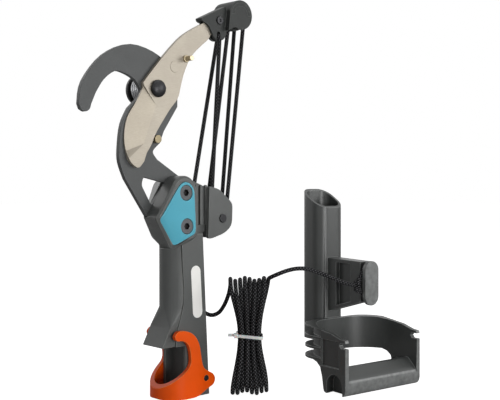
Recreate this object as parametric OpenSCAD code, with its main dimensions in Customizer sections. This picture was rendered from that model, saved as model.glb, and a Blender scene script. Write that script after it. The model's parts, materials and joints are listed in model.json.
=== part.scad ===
// Rope-pulled pruning head for a pole, with its tackle cord, its hank and its pull handle.
// Millimetres. It stands on z = 0, x = y = 0 is the axis of the pole socket, +y is the rear.

/* [Pole socket and grip] */
// radius of the socket that takes the pole
socket_r = 14; // [13:0.25:15]
// height at which the closed socket begins
socket_mouth = 52; // [46:1:60]
// depth of the closed socket
socket_depth = 92; // [70:1:96]
// outer radius of the grip's round left side
grip_r = 17.5; // [16.5:0.25:19]
// half thickness of the grip at its flat sides
grip_half = 16; // [15.5:0.25:16.5]
// right edge of the grip at its top
grip_right_top = 20; // [19:0.5:24]
// right edge of the grip at its foot
grip_right_foot = 28.5; // [26:0.5:31]
// bevel along the grip's right edges
grip_bevel = 6; // [4:0.5:8]
// how far left the hood over the pole catch reaches
hood_reach = 30; // [26:0.5:34]
// height of the hood's flare
hood_rise = 38; // [30:1:44]
// wall of the hood
hood_wall = 3; // [2:0.25:4]
// how far left the hood stands where its flare begins to sweep out
hood_bend = 21; // [19:0.5:24]
// half thickness of the grip at its raised panels
panel_half = 18.1; // [17.8:0.05:18.3]
// left edge of the open trough below the socket
trough_edge = -3; // [-6:0.5:2]
// how much wider than the socket the trough is, in radius
trough_ease = 0.6; // [0.3:0.1:1]

/* [Clamp block] */
// middle of the two clamp screws, sideways
clamp_x = -4; // [-7:0.5:-1]
// middle of the two clamp screws, height
clamp_z = 186; // [182:0.5:190]
// distance between the clamp screws
screw_pitch = 33; // [28:0.5:36]
// half thickness of the clamp block
clamp_half = 20; // [18.5:0.25:22]
// shank diameter of the clamp screws
screw_d = 8; // [6:0.5:9]
// head diameter of the clamp screws
screw_head_d = 15; // [12:0.5:16]
// head height of the clamp screws
screw_head_h = 5; // [4:0.25:6]
// width across flats of the nuts
nut_af = 13; // [11:0.5:15]
// height of the nuts
nut_h = 6.5; // [5:0.25:8]
// thickness of the coloured cover plate
cover_t = 3; // [2.5:0.25:4]
// how far the cover plate stands proud
cover_proud = 0.6; // [0.2:0.1:1.2]
// width of the cover's bent-back strip
strip_w = 5; // [3:0.5:7]
// bevel round the clamp block
boss_bevel = 2; // [1:0.25:3]
// depth of the clamp block's rim round the cover
rim_t = 5; // [4:0.25:7]
// radius of the hollow sweep from the clamp block down to the grip
neck_sweep = 64.7; // [62:0.1:68]

/* [Hook, blade and pivot] */
// pivot, sideways
pivot_x = -29; // [-32:0.5:-26]
// pivot, height
pivot_z = 304; // [298:0.5:310]
// thickness of the hook plate
plate_t = 5; // [4:0.25:5.5]
// thickness of the blade
blade_t = 4; // [3:0.25:4.5]
// gap between blade and hook plate
blade_gap = 0.3; // [0.2:0.05:0.5]
// depth of the grind at the cutting edge
grind_depth = 3; // [2:0.25:3.2]
// shank diameter of the pivot bolt
bolt_d = 10; // [8:0.5:11]
// diameter of the domed bolt head
knob_d = 17; // [15:0.5:19]
// height of the domed bolt head
knob_h = 5.4; // [4:0.2:7]
// diameter of the stop pin's head
stop_d = 8; // [7:0.25:8.5]
// diameter of the guide pin
guide_d = 5; // [4:0.25:6]
// how far the guide pin stands out in front
guide_out = 10; // [6:0.5:12]

/* [Return spring] */
// mean radius of the spring's curls
spring_r = 12.2; // [11.8:0.1:13]
// wire diameter
wire_d = 2.4; // [2:0.1:2.6]
// full curls
spring_curls = 4; // [3:1:4]
// distance from curl to curl
spring_pitch = 3.3; // [3.1:0.1:3.6]
// radius of the black end disc
disc_r = 15.5; // [14.5:0.25:17]
// thickness of the black end disc
disc_t = 3; // [2:0.25:4]

/* [Pulleys and tackle cord] */
// cord diameter
cord_d = 3.8; // [3.4:0.1:4]
// radius at which the cord's middle runs on a pulley
pitch_r = 10; // [9.5:0.1:10.4]
// rim radius of a pulley
rim_r = 11.6; // [11:0.1:12]
// width of a pulley
pulley_w = 6.8; // [6.4:0.1:7]
// diameter of the pulley pins
pulley_pin_d = 5; // [4:0.25:6]
// lower pulleys, sideways
lower_x = 45; // [43:0.5:47]
// lower pulleys, height
lower_z = 176; // [173:0.5:179]
// middle of the lower front pulley, in depth
lower_front_y = -11; // [-11.5:0.1:-10.5]
// middle of the lower rear pulley, in depth
lower_rear_y = -3.5; // [-3.5:0.1:-3]
// upper pulleys, right of the pivot
upper_dx = 102; // [100:0.5:104]
// upper pulleys, above the pivot
upper_dz = 83; // [81:0.5:85]
// middle of the upper front pulley, in depth
upper_front_y = -9; // [-9.5:0.1:-8.5]
// middle of the upper rear pulley, in depth
upper_rear_y = 5; // [4.5:0.1:5.5]
// outer radius of the pulley cap on the blade's arm
cap_r = 15.3; // [14.6:0.1:16.5]
// wall of the pulley cap's faces
cap_wall = 3.2; // [2.5:0.1:4]

/* [Lock lever] */
// lever pin, sideways
lever_x = 19; // [18:0.25:20.5]
// lever pin, height
lever_z = 18; // [16:0.5:20]
// lever pin diameter
lever_pin_d = 6; // [4:0.25:6.5]
// half width inside the stirrup
lever_in = 19; // [18.75:0.25:19.5]
// wall of the stirrup
lever_wall = 4.5; // [3.5:0.25:5.5]
// middle of the stirrup's round left end
lever_bow = -4; // [-8:0.5:-3]

/* [Cord hank] */
// hank, sideways
hank_x = 53; // [51:1:58]
// hank, in depth
hank_y = -50; // [-56:1:-48]
// direction of the hank's width
hank_yaw = -43; // [-50:1:-36]
// half height of the hank's loops
hank_half = 56; // [50:0.5:60]
// how much the loops differ in height
hank_uneven = 1.5; // [0:0.1:2]
// half depth of the inner loops at the waist
hank_waist = 2.6; // [2.5:0.1:3.2]
// step between the two rows of strands at the waist
hank_row = 5.4; // [5:0.1:5.8]
// depth that rounds the folds at both ends
hank_fold = 30; // [27:0.5:31]
// loops
hank_turns = 8; // [6:1:9]
// step from loop to loop at the folds
hank_pitch = 4.8; // [4.6:0.1:5.2]
// step from loop to loop under the tie
hank_draw = 2.6; // [2.4:0.1:3]
// width of the cable tie
tie_w = 4.6; // [3.5:0.1:6]
// thickness of the cable tie
tie_t = 1.3; // [1:0.1:2]

/* [Pull handle] */
// tube of the handle, sideways
handle_x = 175; // [173:0.5:180]
// tube of the handle, in depth
handle_y = -37; // [-40:0.5:-34]
// turn of the handle
handle_yaw = -6; // [-8:0.5:-4]
// width of the tube
tube_w = 38; // [35:0.5:41]
// depth of the tube
tube_d = 34; // [31:0.5:36]
// corner radius of the tube
tube_round = 13; // [10:0.5:14]
// wall of the tube
tube_wall = 3; // [2:0.25:4]
// foot of the tube
tube_foot = 42; // [38:1:46]
// top of the tube at its rear
tube_top = 205; // [195:1:215]
// drop of the tube's slanted top from rear to front
tube_slant = 20; // [14:1:24]
// from the tube's axis to the front of the hand bar
bar_reach = 94; // [90:0.5:98]
// overall width of the hand loop
loop_w = 107; // [102:0.5:114]
// wall of the hand loop
loop_wall = 5; // [4:0.25:6]
// web left behind the fins at the loop's rear corners
fin_web = 3.2; // [2.5:0.1:4]
// thickness of a fin
fin_t = 2.8; // [2:0.1:4]
// length of a leg at its foot
leg_foot = 33; // [28:0.5:36]
// depth of the arched hollow in each end of the hand bar
arch_depth = 9.5; // [7:0.5:11]
// underside of the loop's rear wall
loop_low = 31; // [28:1:36]
// top of the loop's rear wall
loop_top = 66; // [62:1:70]
// height of the hand bar
bar_h = 27; // [24:0.5:29]
// depth of the hand bar
bar_d = 19; // [16:0.5:22]
// height of the cord notch in each side wall
notch_h = 5.4; // [4.8:0.1:6]
// depth of the cord notch
notch_depth = 9; // [7:0.5:11]
// reach of the cord cleat from the tube's axis
cleat_reach = 77; // [72:0.5:80]
// width of the cleat's end plate
cleat_w = 19; // [16:0.5:22]
// height of the cleat's end plate
cleat_h = 46; // [40:0.5:50]
// middle of the cleat's end plate, height
cleat_z = 108; // [104:0.5:112]
// thickness of the cleat's end plate
cleat_t = 4.5; // [3.5:0.25:6]
// width of the groove that the cord is tied in
neck_gap = 5.4; // [5:0.1:6.5]
// width of the cleat's neck
neck_w = 12; // [11:0.5:13]
// height of the cleat's neck
neck_h = 27; // [24:0.5:29]

/* [Fits] */
// running clearance of a turning fit, radial
run_fit = 0.06; // [0.02:0.01:0.09]
// clearance of a fixed fit, radial
seat_fit = 0.02; // [0.01:0.01:0.05]
// gap between faces that stay still
still_gap = 0.3; // [0.2:0.05:0.5]
// gap beside a pulley or under its cord
pulley_gap = 0.4; // [0.35:0.05:0.5]

/* [Hidden] */

// smoothness of true rounds
$fn = 48;
// a small overshoot for cuts
eps = 0.5;
// steps of a spline span and of a rounded corner
span_steps = 4;
corner_steps = 4;

// colours
c_nylon = [0.35, 0.35, 0.345];
c_plate = [0.43, 0.43, 0.435];
c_blade = [0.74, 0.71, 0.65];
c_cover = [0.31, 0.65, 0.72];
c_lever = [0.83, 0.39, 0.10];
c_steel = [0.20, 0.20, 0.21];
c_wire = [0.72, 0.73, 0.75];
c_brass = [0.85, 0.76, 0.60];
c_cord = [0.11, 0.11, 0.11];
c_pulley = [0.16, 0.16, 0.17];
c_tie = [0.93, 0.93, 0.92];
c_handle = [0.28, 0.285, 0.28];

// anchors that the outlines hang on, as [x, z]
pivot = [pivot_x, pivot_z];
clamp = [clamp_x, clamp_z];
lower = [lower_x, lower_z];
upper = pivot + [upper_dx, upper_dz];
lever = [lever_x, lever_z];
screw_top = clamp + [0, screw_pitch / 2];
screw_low = clamp - [-1, screw_pitch / 2];

// pins that the spring's legs bear on, from the pivot, and the turn of the wire between its legs
guide_at = [35, 32];
stop_at = [0.3, -49.1];
stop_shank_r = 2.5;
leg_side = stop_shank_r + wire_d / 2 + still_gap;
stop_dir = atan2(stop_at[1], stop_at[0]);
guide_dir = atan2(guide_at[1], guide_at[0]);
curl_from = stop_dir + acos((spring_r - leg_side) / norm(stop_at));
curl_to = guide_dir - acos((spring_r - leg_side) / norm(guide_at)) + 360;
curl_angle = curl_to - curl_from + 360 * spring_curls;

// depths of the cutting pair
plate_front = -plate_t / 2;
plate_rear = plate_t / 2;
blade_rear = plate_front - blade_gap;
blade_front = blade_rear - blade_t;
knob_rear = blade_front - still_gap;
spool_front = plate_rear;
curl_front = plate_rear + wire_d / 2 + 0.7;
curl_rear = curl_front + curl_angle / 360 * spring_pitch;
disc_front = curl_rear + wire_d / 2 + still_gap;
disc_rear = disc_front + disc_t;
bolt_end = disc_rear + nut_h + 1;

// hook plate, from the pivot
plate_outer = [[-86.3, -19], [-82, 2], [-60, 28], [-29, 41], [5, 33], [22, 14], [28, -8]];
plate_corner = [28, -16];
plate_shoulder = [11, -41];
plate_notch = [[6, -53], [-1, -59], [-2, -63], [3, -69]];
plate_hook_tip = [[-72.8, -18.5], [-74.8, -23.8], [-79.5, -26], [-84.3, -23.9]];
plate_throat = [[-20, -10], [-17, -5], [-18, 0], [-25, 8], [-37, 13], [-47, 13.5], [-59, 5], [-68, -8]];
plate_flank = [[-35, -88], [-41.5, -72], [-42, -57], [-39, -36], [-31, -20]];
// hook plate, from the clamp's middle
tongue = [[11, 29], [11, -20], [8, -28], [-4, -30], [-26, -13.5], [-35.5, -5.5]];
window = [[-39, 32, 3], [-12, 26, 3], [-29, 4, 3], [-41, 24, 3]];

// blade, from the pivot
arm_top = [[61, 72], [42, 62], [26, 51], [4, 29], [-17, 5]];
edge_line = [[-16, 0], [-23, -13], [-34, -30], [-37.5, -50], [-34, -68], [-28, -75], [-22, -77], [-16, -71]];
spine_line = [[-13, -63], [-7, -54], [-1, -42], [14, -21], [25, -8], [29, 5], [34, 20], [44, 37], [64, 54]];
arm_end = [[67, 58], [74, 67.5], [81, 69], [84, 77], [79, 81.5]];
grind_zone = [[-2, -16], [-17, 3], [-60, 3], [-60, -64], [-40, -63], [-16.5, -54]];
grind_from = [-2, -16];
grind_to = [-16.5, -54];
grind_reach = 23;
grind_slope = grind_depth / grind_reach;
facet_high = grind_zone[4];
facet_low = [-36, -70];
facet_slope = grind_slope * right_of(facet_high, grind_from, grind_to)
    / right_of(facet_high, grind_to, facet_low);
facet_zone = [grind_to, 2 * facet_high - grind_to, 2 * facet_low - grind_to];
half_shear = [21, 23];
half_shear_r = 5.6;
half_shear_h = 0.4;
guide_rear = 5.5;
stop_head_h = 3;

// pulley block on the blade's arm, from the pivot
cheek = [[54, 72, 2], [85, 88, 2], [90, 80, 3], [88, 63, 5], [82, 54.5, 5], [72, 54, 6], [62, 69.5, 6]];
ridge = [[54, 72], [53, 75], [85, 90.5], [89, 84], [80, 83], [61, 73.2]];
cheek_front = blade_front - 3.2;
cheek_rear = blade_rear + 3;
block_screw_at = [77, 75];
block_screw_r = 2.5;
block_head_r = 4;
block_nut_af = 8;
cord_hole = [76, 61];
cord_hole_r = cord_d / 2 + 0.5;
knot_r = 3.9;
strand_y = lower_front_y;
anchor_bend = 2 * cord_d;
cap_low_left = [84.4, 65];
cap_low_right = [117, 81];
cavity_r = rim_r + 1;
cavity_far = 60;
cap_front = upper_front_y - pulley_w / 2 - pulley_gap - cap_wall;
cap_rear = upper_rear_y + pulley_w / 2 + pulley_gap + cap_wall;
pin_skin = 1.4;
pulley_root = pitch_r - cord_d / 2 - pulley_gap;
groove_half = cord_d / 2 + pulley_gap;

// strands of the tackle, in the x-z plane
along = (lower - upper) / norm(lower - upper);
across = [-along[1], along[0]];
strand_angle = atan2(across[1], across[0]);
guide_hole = [lower_x - 22, lower_z + 36];
channel_x = 20;
channel_r = cord_d / 2 + 0.9;
exit_z = 84;
exit_x = 31;
exit_rise = 16;
exit_tilt = atan2(exit_x - channel_x, -exit_rise);

// housing, from the clamp's middle
boss = [[-2, 34, 8], [-12, 30, 6], [-36, -7.5, 4], [-17.5, -39, 5], [14, -29, 5], [17, -16, 4],
    [15, 21, 6], [8, 31, 5]];
boss_core = [[-2, 34, 8], [-12, 30, 6], [-35.2, -7, 2], [-12, -39, 4], [14, -30, 5], [17, -16, 4],
    [15, 21, 6], [8, 31, 5]];
boss_rear = [[-2, 30, 6], [-10, 26, 5], [-14, 10, 5], [-13, -30, 5], [13, -28, 5], [15, -16, 4],
    [14, 19, 5], [7, 28, 5]];
neck_at = clamp + [-72, -61.2];
neck_foot = clamp_z - 38.5;
cover = [[-2, 28, 5], [-9, 23, 4], [-32, -9, 3], [-15, -35, 3], [11, -24, 3], [12, -19, 3],
    [10, 19, 4], [6, 25, 4]];
cover_rear = -clamp_half + cover_t - cover_proud;
strip_in = strip_w * unit([cover[2][1] - cover[3][1], cover[3][0] - cover[2][0]]);
strip_from = clamp + [cover[2][0], cover[2][1]] + strip_in;
strip_to = clamp + [cover[3][0], cover[3][1]] + strip_in;
web = [[-2, 32], [13, 29], [27, 24], [37, 18], [37, -14], [24, -30], [4, -40], [-10, -36]];
web_half = 11.5;
rib_at = [15.6, 22.4, 29.2];
rib_proud = [4, 3.2, 2.4];
rib_w = 3.2;
rib_low = -16;
rib_h = 40;
ear = [[-17.5, 33, 3], [-4, 29.5, 3], [14, 15, 5], [13, -8, 8], [3, -15.5, 8], [-14, -20, 3],
    [-19, -20, 2]];
ear_root = [[-19, 31], [-19, -19], [-12, -18], [-9, -13], [-9, 26]];
ear_front = lower_front_y - pulley_w / 2 - pulley_gap;
ear_rear = lower_rear_y + pulley_w / 2 + pulley_gap;
ear_wall = 3.4;
ear_back = 5.6;
slot_half = plate_t / 2 + seat_fit;
// raised panel of the grip: its left edge leans like the grip's right edge and sweeps into the hood
grip_top = socket_mouth + socket_depth + 18;
crease_x = -5;
crease = [[crease_x - 3, grip_top - 1], [crease_x - 1.6, 130], [crease_x, 108], [crease_x - 0.2, 97],
    [crease_x - 2, 87], [crease_x - 5, 77], [crease_x - 8, 68], [crease_x - 9.6, 60],
    [crease_x - 10, socket_mouth + 1]];
panel = concat(spline(crease), [[crease_x - 10, socket_mouth], [trough_edge, socket_mouth - 2],
    [trough_edge, 0], [grip_right_foot - 1, 0], [grip_right_top - 1, grip_top - 1]]);

// lock lever, its side outline
lever_side = [[-28, 0.6, 3], [8, 0.6, 6], [19, 6.5, 5], [29, 10.5, 5], [31, 16, 4], [28.5, 21, 4],
    [15.5, 28, 7], [13, 37, 5], [10.5, 52, 6], [6, 60, 4], [1, 64.5, 4], [-8, 68, 5], [-17, 68, 4],
    [-21, 63.5, 4], [-18.5, 58.5, 3], [-10, 58.5, 5], [-4, 54.5, 4], [-1, 47, 6], [0, 33, 6],
    [-10, 25, 6], [-28, 11, 3]];
lever_tall = 80;
lever_knee = 40;

// hank
hank_rings = 24;
hank_z = hank_half + hank_uneven + cord_d / 2 + 0.4;
run_h = [cos(hank_yaw), sin(hank_yaw)];
run_w = [-sin(hank_yaw), cos(hank_yaw)];
tie_ease = 0.7;
tie_round = 3;
tie_half = [(hank_turns / 2 - 0.25) * hank_draw + cord_d / 2 + tie_ease,
    hank_waist + hank_row + cord_d / 2 + tie_ease];

// handle, in its own frame
bar_front = -bar_reach;
loop_half = loop_w / 2;
loop_rear = -tube_d / 2 + 1;
loop_round = 27;
loop_sweep = 38;
leg_foot_rear = bar_front + leg_foot;
leg_rear = leg_foot_rear + 7;
post_t = 5;
block_w = 12;
block_h = 24;
fin_count = 4;
fin_front = -57;
fin_step = (loop_top - loop_low - fin_t) / (fin_count - 1);
arch_r = (leg_foot - post_t - 5) / 2;
arch_mid = bar_front + post_t + arch_r;
arch_foot = 9;
pocket = 2.2;
notch_z = 48;
arm_half = 7.5;
arm_web = 2.6;
arm_end_y = -cleat_reach + cleat_t + neck_gap;
arm_drop = 12;
arm_frame = 4;
arm_root = 13;
arm_tip = 15;

// helpers
function unit(v) = v / norm(v);
function last(p) = p[len(p) - 1];
function shift(p, o) = [for (q = p) [q[0] + o[0], q[1] + o[1]]];
function blend4(a, b, c, d, t) =
    0.5 * ((2 * b) + (c - a) * t + (2 * a - 5 * b + 4 * c - d) * t * t
    + (3 * b - a - 3 * c + d) * t * t * t);
// smooth open line through the given points
function spline(p, n = span_steps) = concat(
    [for (i = [0 : len(p) - 2], k = [0 : n - 1])
        blend4(p[max(i - 1, 0)], p[i], p[i + 1], p[min(i + 2, len(p) - 1)], k / n)],
    [last(p)]);
// closed outline whose corners [x, z, setback] are rounded
function soft(p, n = corner_steps) = [for (i = [0 : len(p) - 1], k = [0 : n])
    let (m = len(p), b = [p[i][0], p[i][1]],
        a = [p[(i + m - 1) % m][0], p[(i + m - 1) % m][1]],
        c = [p[(i + 1) % m][0], p[(i + 1) % m][1]],
        f = min(p[i][2], 0.48 * norm(a - b), 0.48 * norm(c - b)),
        s = b + unit(a - b) * f, e = b + unit(c - b) * f, t = k / n)
        s * (1 - t) * (1 - t) + b * 2 * t * (1 - t) + e * t * t];
// distance of a point to the right of the line from a to b
function right_of(p, a, b) = let (d = unit(b - a)) (p - a) * [d[1], -d[0]];
function lift(p, o) = [for (q = p) [q[0] + o[0], q[1] + o[1], q[2]]];
// corners moved out from the outline's middle
function grow(p, g) = [for (q = p) let (u = unit([q[0], q[1]]))
    [q[0] + 1.4 * g * u[0], q[1] + 1.4 * g * u[1], q[2]]];
function arc(c, r, y, a0, a1, n) = [for (k = [0 : n])
    let (a = a0 + (a1 - a0) * k / n) [c[0] + r * cos(a), y, c[1] + r * sin(a)]];

// tube along a path, its section carried along without twist
function tangents(p) = [for (i = [0 : len(p) - 1])
    unit(unit(p[min(i + 1, len(p) - 1)] - p[max(min(i, len(p) - 2), 0)])
    + unit(p[max(i, 1)] - p[max(i - 1, 0)]))];
function carry(t, i, us) = i == len(t) ? us
    : carry(t, i + 1, concat(us, [unit(us[i - 1] - t[i] * (us[i - 1] * t[i]))]));
function side_of(t) = unit(abs(t[2]) < 0.8 ? cross(t, [0, 0, 1]) : cross(t, [1, 0, 0]));
function ring_points(p, r, s) = let (t = tangents(p), u = carry(t, 1, [side_of(t[0])]))
    [for (i = [0 : len(p) - 1], k = [0 : s - 1])
        p[i] + r * (cos(360 * k / s) * u[i] + sin(360 * k / s) * cross(t[i], u[i]))];
function ring_faces(m, s) = concat(
    [for (i = [0 : m - 2], k = [0 : s - 1])
        [i * s + k, (i + 1) * s + k, (i + 1) * s + (k + 1) % s]],
    [for (i = [0 : m - 2], k = [0 : s - 1])
        [i * s + k, (i + 1) * s + (k + 1) % s, i * s + (k + 1) % s]],
    [for (k = [1 : s - 2]) [0, k, k + 1]],
    [for (k = [1 : s - 2]) [(m - 1) * s, (m - 1) * s + k + 1, (m - 1) * s + k]]);
module tube_along(p, d, s) {
    polyhedron(points = ring_points(p, d / 2, s), faces = ring_faces(len(p), s), convexity = 10);
}
// least gap of a tube to itself, neighbours along it left out
function self_gap(p, d, apart) = min([for (i = [0 : len(p) - 1 - apart])
    min([for (j = [i + apart : len(p) - 1]) norm(p[i] - p[j])])]) - d;

// plate seen from the front, from depth y0 to y1
module slab(y0, y1) {
    translate([0, y1, 0]) rotate([90, 0, 0]) linear_extrude(y1 - y0) children();
}
// round bar along the depth
module bar(at, r, y0, y1) {
    translate([at[0], y1, at[1]]) rotate([90, 0, 0]) cylinder(r = r, h = y1 - y0);
}
// hexagon along the depth
module hex(at, af, y0, y1) {
    translate([at[0], y1, at[1]]) rotate([90, 0, 0])
        cylinder(d = af / cos(30), h = y1 - y0, $fn = 6);
}
// half-space in front of a plane that tilts back from a line, on the line's right
module tilted_cut(from, to, y, slope) {
    translate([from[0], y, from[1]]) rotate([0, -atan2(to[1] - from[1], to[0] - from[0]), 0])
        rotate([atan(slope), 0, 0]) translate([-150, -20, -90]) cube([300, 20, 90]);
}

// grip and socket
module grip_section(right) {
    polygon(concat([for (k = [0 : 16]) grip_r * [cos(90 + 11.25 * k), sin(90 + 11.25 * k)]],
        [[right, -grip_half], [right + grip_bevel, -grip_half + grip_bevel + 1],
            [right + grip_bevel, grip_half - grip_bevel - 1], [right, grip_half]]));
}
module grip() {
    hull() {
        linear_extrude(1) grip_section(grip_right_foot);
        translate([0, 0, grip_top - 1]) linear_extrude(1) grip_section(grip_right_top);
    }
}
// section of the hood, whose left edge stands at -reach
module hood_section(reach, inset, z) {
    translate([-reach + inset, -grip_half + inset, z])
        cube([reach, 2 * (grip_half - inset), 1]);
}
module hood(inset) {
    middle = socket_mouth + 0.45 * hood_rise;
    hull() {
        hood_section(hood_reach, inset, socket_mouth - (inset > 0 ? eps : 0));
        hood_section(hood_bend, inset, middle);
    }
    hull() {
        hood_section(hood_bend, inset, middle);
        translate([0, 0, socket_mouth + hood_rise - inset - 1]) linear_extrude(1)
            circle(r = grip_r - inset - 0.4, $fn = 32);
    }
}
// room for a pulley and for a strand that leaves it
module cavity_shape(at, dir) {
    side = cavity_r * [-dir[1], dir[0]];
    translate(at) circle(r = cavity_r);
    polygon([at + side, at + side + cavity_far * dir, at - side + cavity_far * dir, at - side]);
}
module housing() color(c_nylon) {
    difference() {
        union() {
            grip();
            hood(0);
            slab(-panel_half, panel_half) polygon(panel);
            // clamp block: its rim round the cover, drawn in towards the plate and again behind it
            hull() {
                slab(-clamp_half, -clamp_half + eps) polygon(soft(lift(grow(boss, -boss_bevel), clamp)));
                slab(-clamp_half + boss_bevel, -clamp_half + rim_t) polygon(soft(lift(boss, clamp)));
                slab(-slot_half, slot_half) polygon(soft(lift(boss_core, clamp)));
            }
            hull() {
                slab(0, slot_half + eps) polygon(soft(lift(boss_core, clamp)));
                slab(clamp_half - eps, clamp_half) polygon(soft(lift(boss_rear, clamp)));
            }
            slab(-web_half, web_half) polygon(shift(web, clamp));
            for (i = [0 : 2]) slab(-web_half - rib_proud[i], -web_half + eps) polygon(soft(lift(
                [[rib_at[i], rib_low, 1.5], [rib_at[i] + rib_w, rib_low, 1.5],
                    [rib_at[i] + rib_w, rib_low + rib_h, 1.5], [rib_at[i], rib_low + rib_h, 1.5]], clamp)));
            slab(ear_front - ear_wall, ear_front) polygon(soft(lift(ear, lower)));
            slab(ear_rear, ear_rear + ear_back) polygon(soft(lift(ear, lower)));
            slab(ear_front - eps, ear_rear + eps) polygon(shift(ear_root, lower));
        }
        translate([0, 0, socket_mouth - eps]) cylinder(r = socket_r, h = socket_depth + eps);
        translate([0, 0, -1]) cylinder(r = socket_r + trough_ease, h = socket_mouth + 1);
        hood(hood_wall);
        translate([-60, -40, -eps]) cube([60 + trough_edge, 80, socket_mouth + eps]);
        // slot for the hook plate, open to the left and the top
        slab(-slot_half, slot_half) polygon(shift(concat(
            [tongue[0] + [still_gap, 31], tongue[1] + [still_gap, 0], tongue[2] + [still_gap, -still_gap]],
            [for (i = [3 : 5]) tongue[i] - still_gap * [0.8, 1]], [[-60, 14.5], [-60, 60]]), clamp));
        // hollow sweep of the neck, behind the rim
        intersection() {
            bar(neck_at, neck_sweep, -clamp_half + rim_t, 2 * clamp_half, $fn = 128);
            translate([-100, -50, neck_foot]) cube([100, 100, 60]);
        }
        // cover, screws and nuts
        slab(-clamp_half - eps, cover_rear) polygon(soft(lift(grow(cover, still_gap), clamp)));
        for (s = [screw_top, screw_low]) {
            bar(s, screw_d / 2 + seat_fit, -clamp_half - 1, clamp_half + 1);
            bar(s, screw_head_d / 2 + still_gap, -clamp_half - 1, -clamp_half + screw_head_h);
            hex(s, nut_af + 2 * still_gap, clamp_half - nut_h, clamp_half + 1);
        }
        // pulleys and their pin
        slab(ear_front, ear_rear) {
            cavity_shape(lower, -along);
            cavity_shape(lower, unit(anchor_low - lower));
        }
        bar(lower, pulley_pin_d / 2 + seat_fit, ear_front - 10, ear_rear + 10);
        // cord channel and its way out
        translate([channel_x, 0, exit_z + exit_rise]) {
            cylinder(r = channel_r, h = 200, $fn = 24);
            rotate([0, exit_tilt, 0]) cylinder(r = channel_r, h = 40, $fn = 24);
            sphere(r = channel_r + 1.5, $fn = 24);
        }
        slab(-channel_r, channel_r) polygon([[channel_x - channel_r, 186], [channel_x + channel_r, 186],
            [guide_hole[0] + 12, 240], [guide_hole[0] - 4, 240]]);
        bar(lever, lever_pin_d / 2 + seat_fit, -40, 40);
    }
}
module cover_plate() color(c_cover) {
    difference() {
        slab(cover_rear - cover_t, cover_rear) polygon(soft(lift(cover, clamp)));
        for (s = [screw_top, screw_low])
            bar(s, screw_head_d / 2 + still_gap, -clamp_half - 3, clamp_half);
        tilted_cut(strip_from, strip_to, cover_rear - cover_t, 0.45);
    }
}
module clamp_screw(at) color(c_steel) {
    difference() {
        union() {
            bar(at, screw_head_d / 2, -clamp_half, -clamp_half + screw_head_h);
            bar(at, screw_d / 2, -clamp_half + 1, clamp_half);
        }
        hex(at, 6, -clamp_half - 1, -clamp_half + 2.6);
    }
}
module clamp_nut(at) color(c_steel) {
    difference() {
        hex(at, nut_af, clamp_half - nut_h, clamp_half);
        bar(at, screw_d / 2 + seat_fit, 0, clamp_half + 1);
    }
}
module clamp_screw_top() clamp_screw(screw_top);
module clamp_screw_low() clamp_screw(screw_low);
module clamp_nut_top() clamp_nut(screw_top);
module clamp_nut_low() clamp_nut(screw_low);

// cutting pair
module plate_outline() {
    polygon(concat(
        shift(spline(plate_outer), pivot),
        [pivot + plate_corner, pivot + plate_shoulder],
        shift(spline(plate_notch), pivot),
        shift(tongue, clamp),
        shift(spline(plate_flank), pivot),
        shift(spline(plate_throat), pivot),
        shift(spline(plate_hook_tip), pivot)));
}
module hook_plate() color(c_plate) {
    difference() {
        slab(plate_front, plate_rear) plate_outline();
        slab(plate_front - 1, plate_rear + 1) polygon(soft(lift(window, clamp)));
        bar(pivot, bolt_d / 2 + seat_fit, -20, 20);
        bar(pivot + stop_at, stop_shank_r + seat_fit, -20, 20);
        for (s = [screw_top, screw_low]) bar(s, screw_d / 2 + seat_fit, -20, 20);
    }
}
module stop_pin() color(c_brass) {
    bar(pivot + stop_at, stop_d / 2, blade_front - stop_head_h + 2, plate_front);
    bar(pivot + stop_at, stop_shank_r, plate_front - 1, curl_rear + wire_d);
}
module pivot_bolt() color(c_steel) {
    translate([pivot_x, 0, pivot_z]) rotate([90, 0, 0]) {
        translate([0, 0, -bolt_end]) cylinder(d = bolt_d, h = bolt_end - knob_rear);
        rotate_extrude() polygon(concat([[0, -knob_rear]], [[knob_d / 2, -knob_rear]],
            [for (k = [0 : 8]) [knob_d / 2 * cos(11.25 * k), -knob_rear + 1.4
                + (knob_h - 1.4) * sin(11.25 * k)]]));
    }
}
module spring_spool() color(c_steel) {
    difference() {
        union() {
            bar(pivot, spring_r - wire_d / 2 - 1, spool_front, disc_rear);
            bar(pivot, disc_r, disc_front, disc_rear);
        }
        bar(pivot, bolt_d / 2 + seat_fit, -20, bolt_end + 5);
    }
}
module pivot_nut() color(c_steel) {
    difference() {
        hex(pivot, nut_af + 3, disc_rear, disc_rear + nut_h);
        bar(pivot, bolt_d / 2 + seat_fit, 0, bolt_end + 5);
    }
}
// return spring: one wire, from its leg at the stop pin through the curls to its leg at the guide pin
curl_rise = curl_rear - curl_front;
function curl(a) = let (f = (a - curl_from) / curl_angle)
    [pivot_x + spring_r * cos(a), curl_rear - curl_rise * f, pivot_z + spring_r * sin(a)];
function leg(a, y, sign, reach) = [pivot_x + spring_r * cos(a) - sign * sin(a) * reach, y,
    pivot_z + spring_r * sin(a) + sign * cos(a) * reach];
curl_steps = round(curl_angle / 45);
leg_reach = 51;
spring_path = concat(
    [leg(curl_from, curl_rear, -1, leg_reach), leg(curl_from, curl_rear, -1, 4)],
    [for (k = [0 : curl_steps]) curl(curl_from + curl_angle * k / curl_steps)],
    [leg(curl_to, curl_front, 1, 4), leg(curl_to, curl_front, 1, leg_reach)]);
module return_spring() color(c_wire) tube_along(spring_path, wire_d, 6);
echo(spring_gap = self_gap(spring_path, wire_d, 5));

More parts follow.
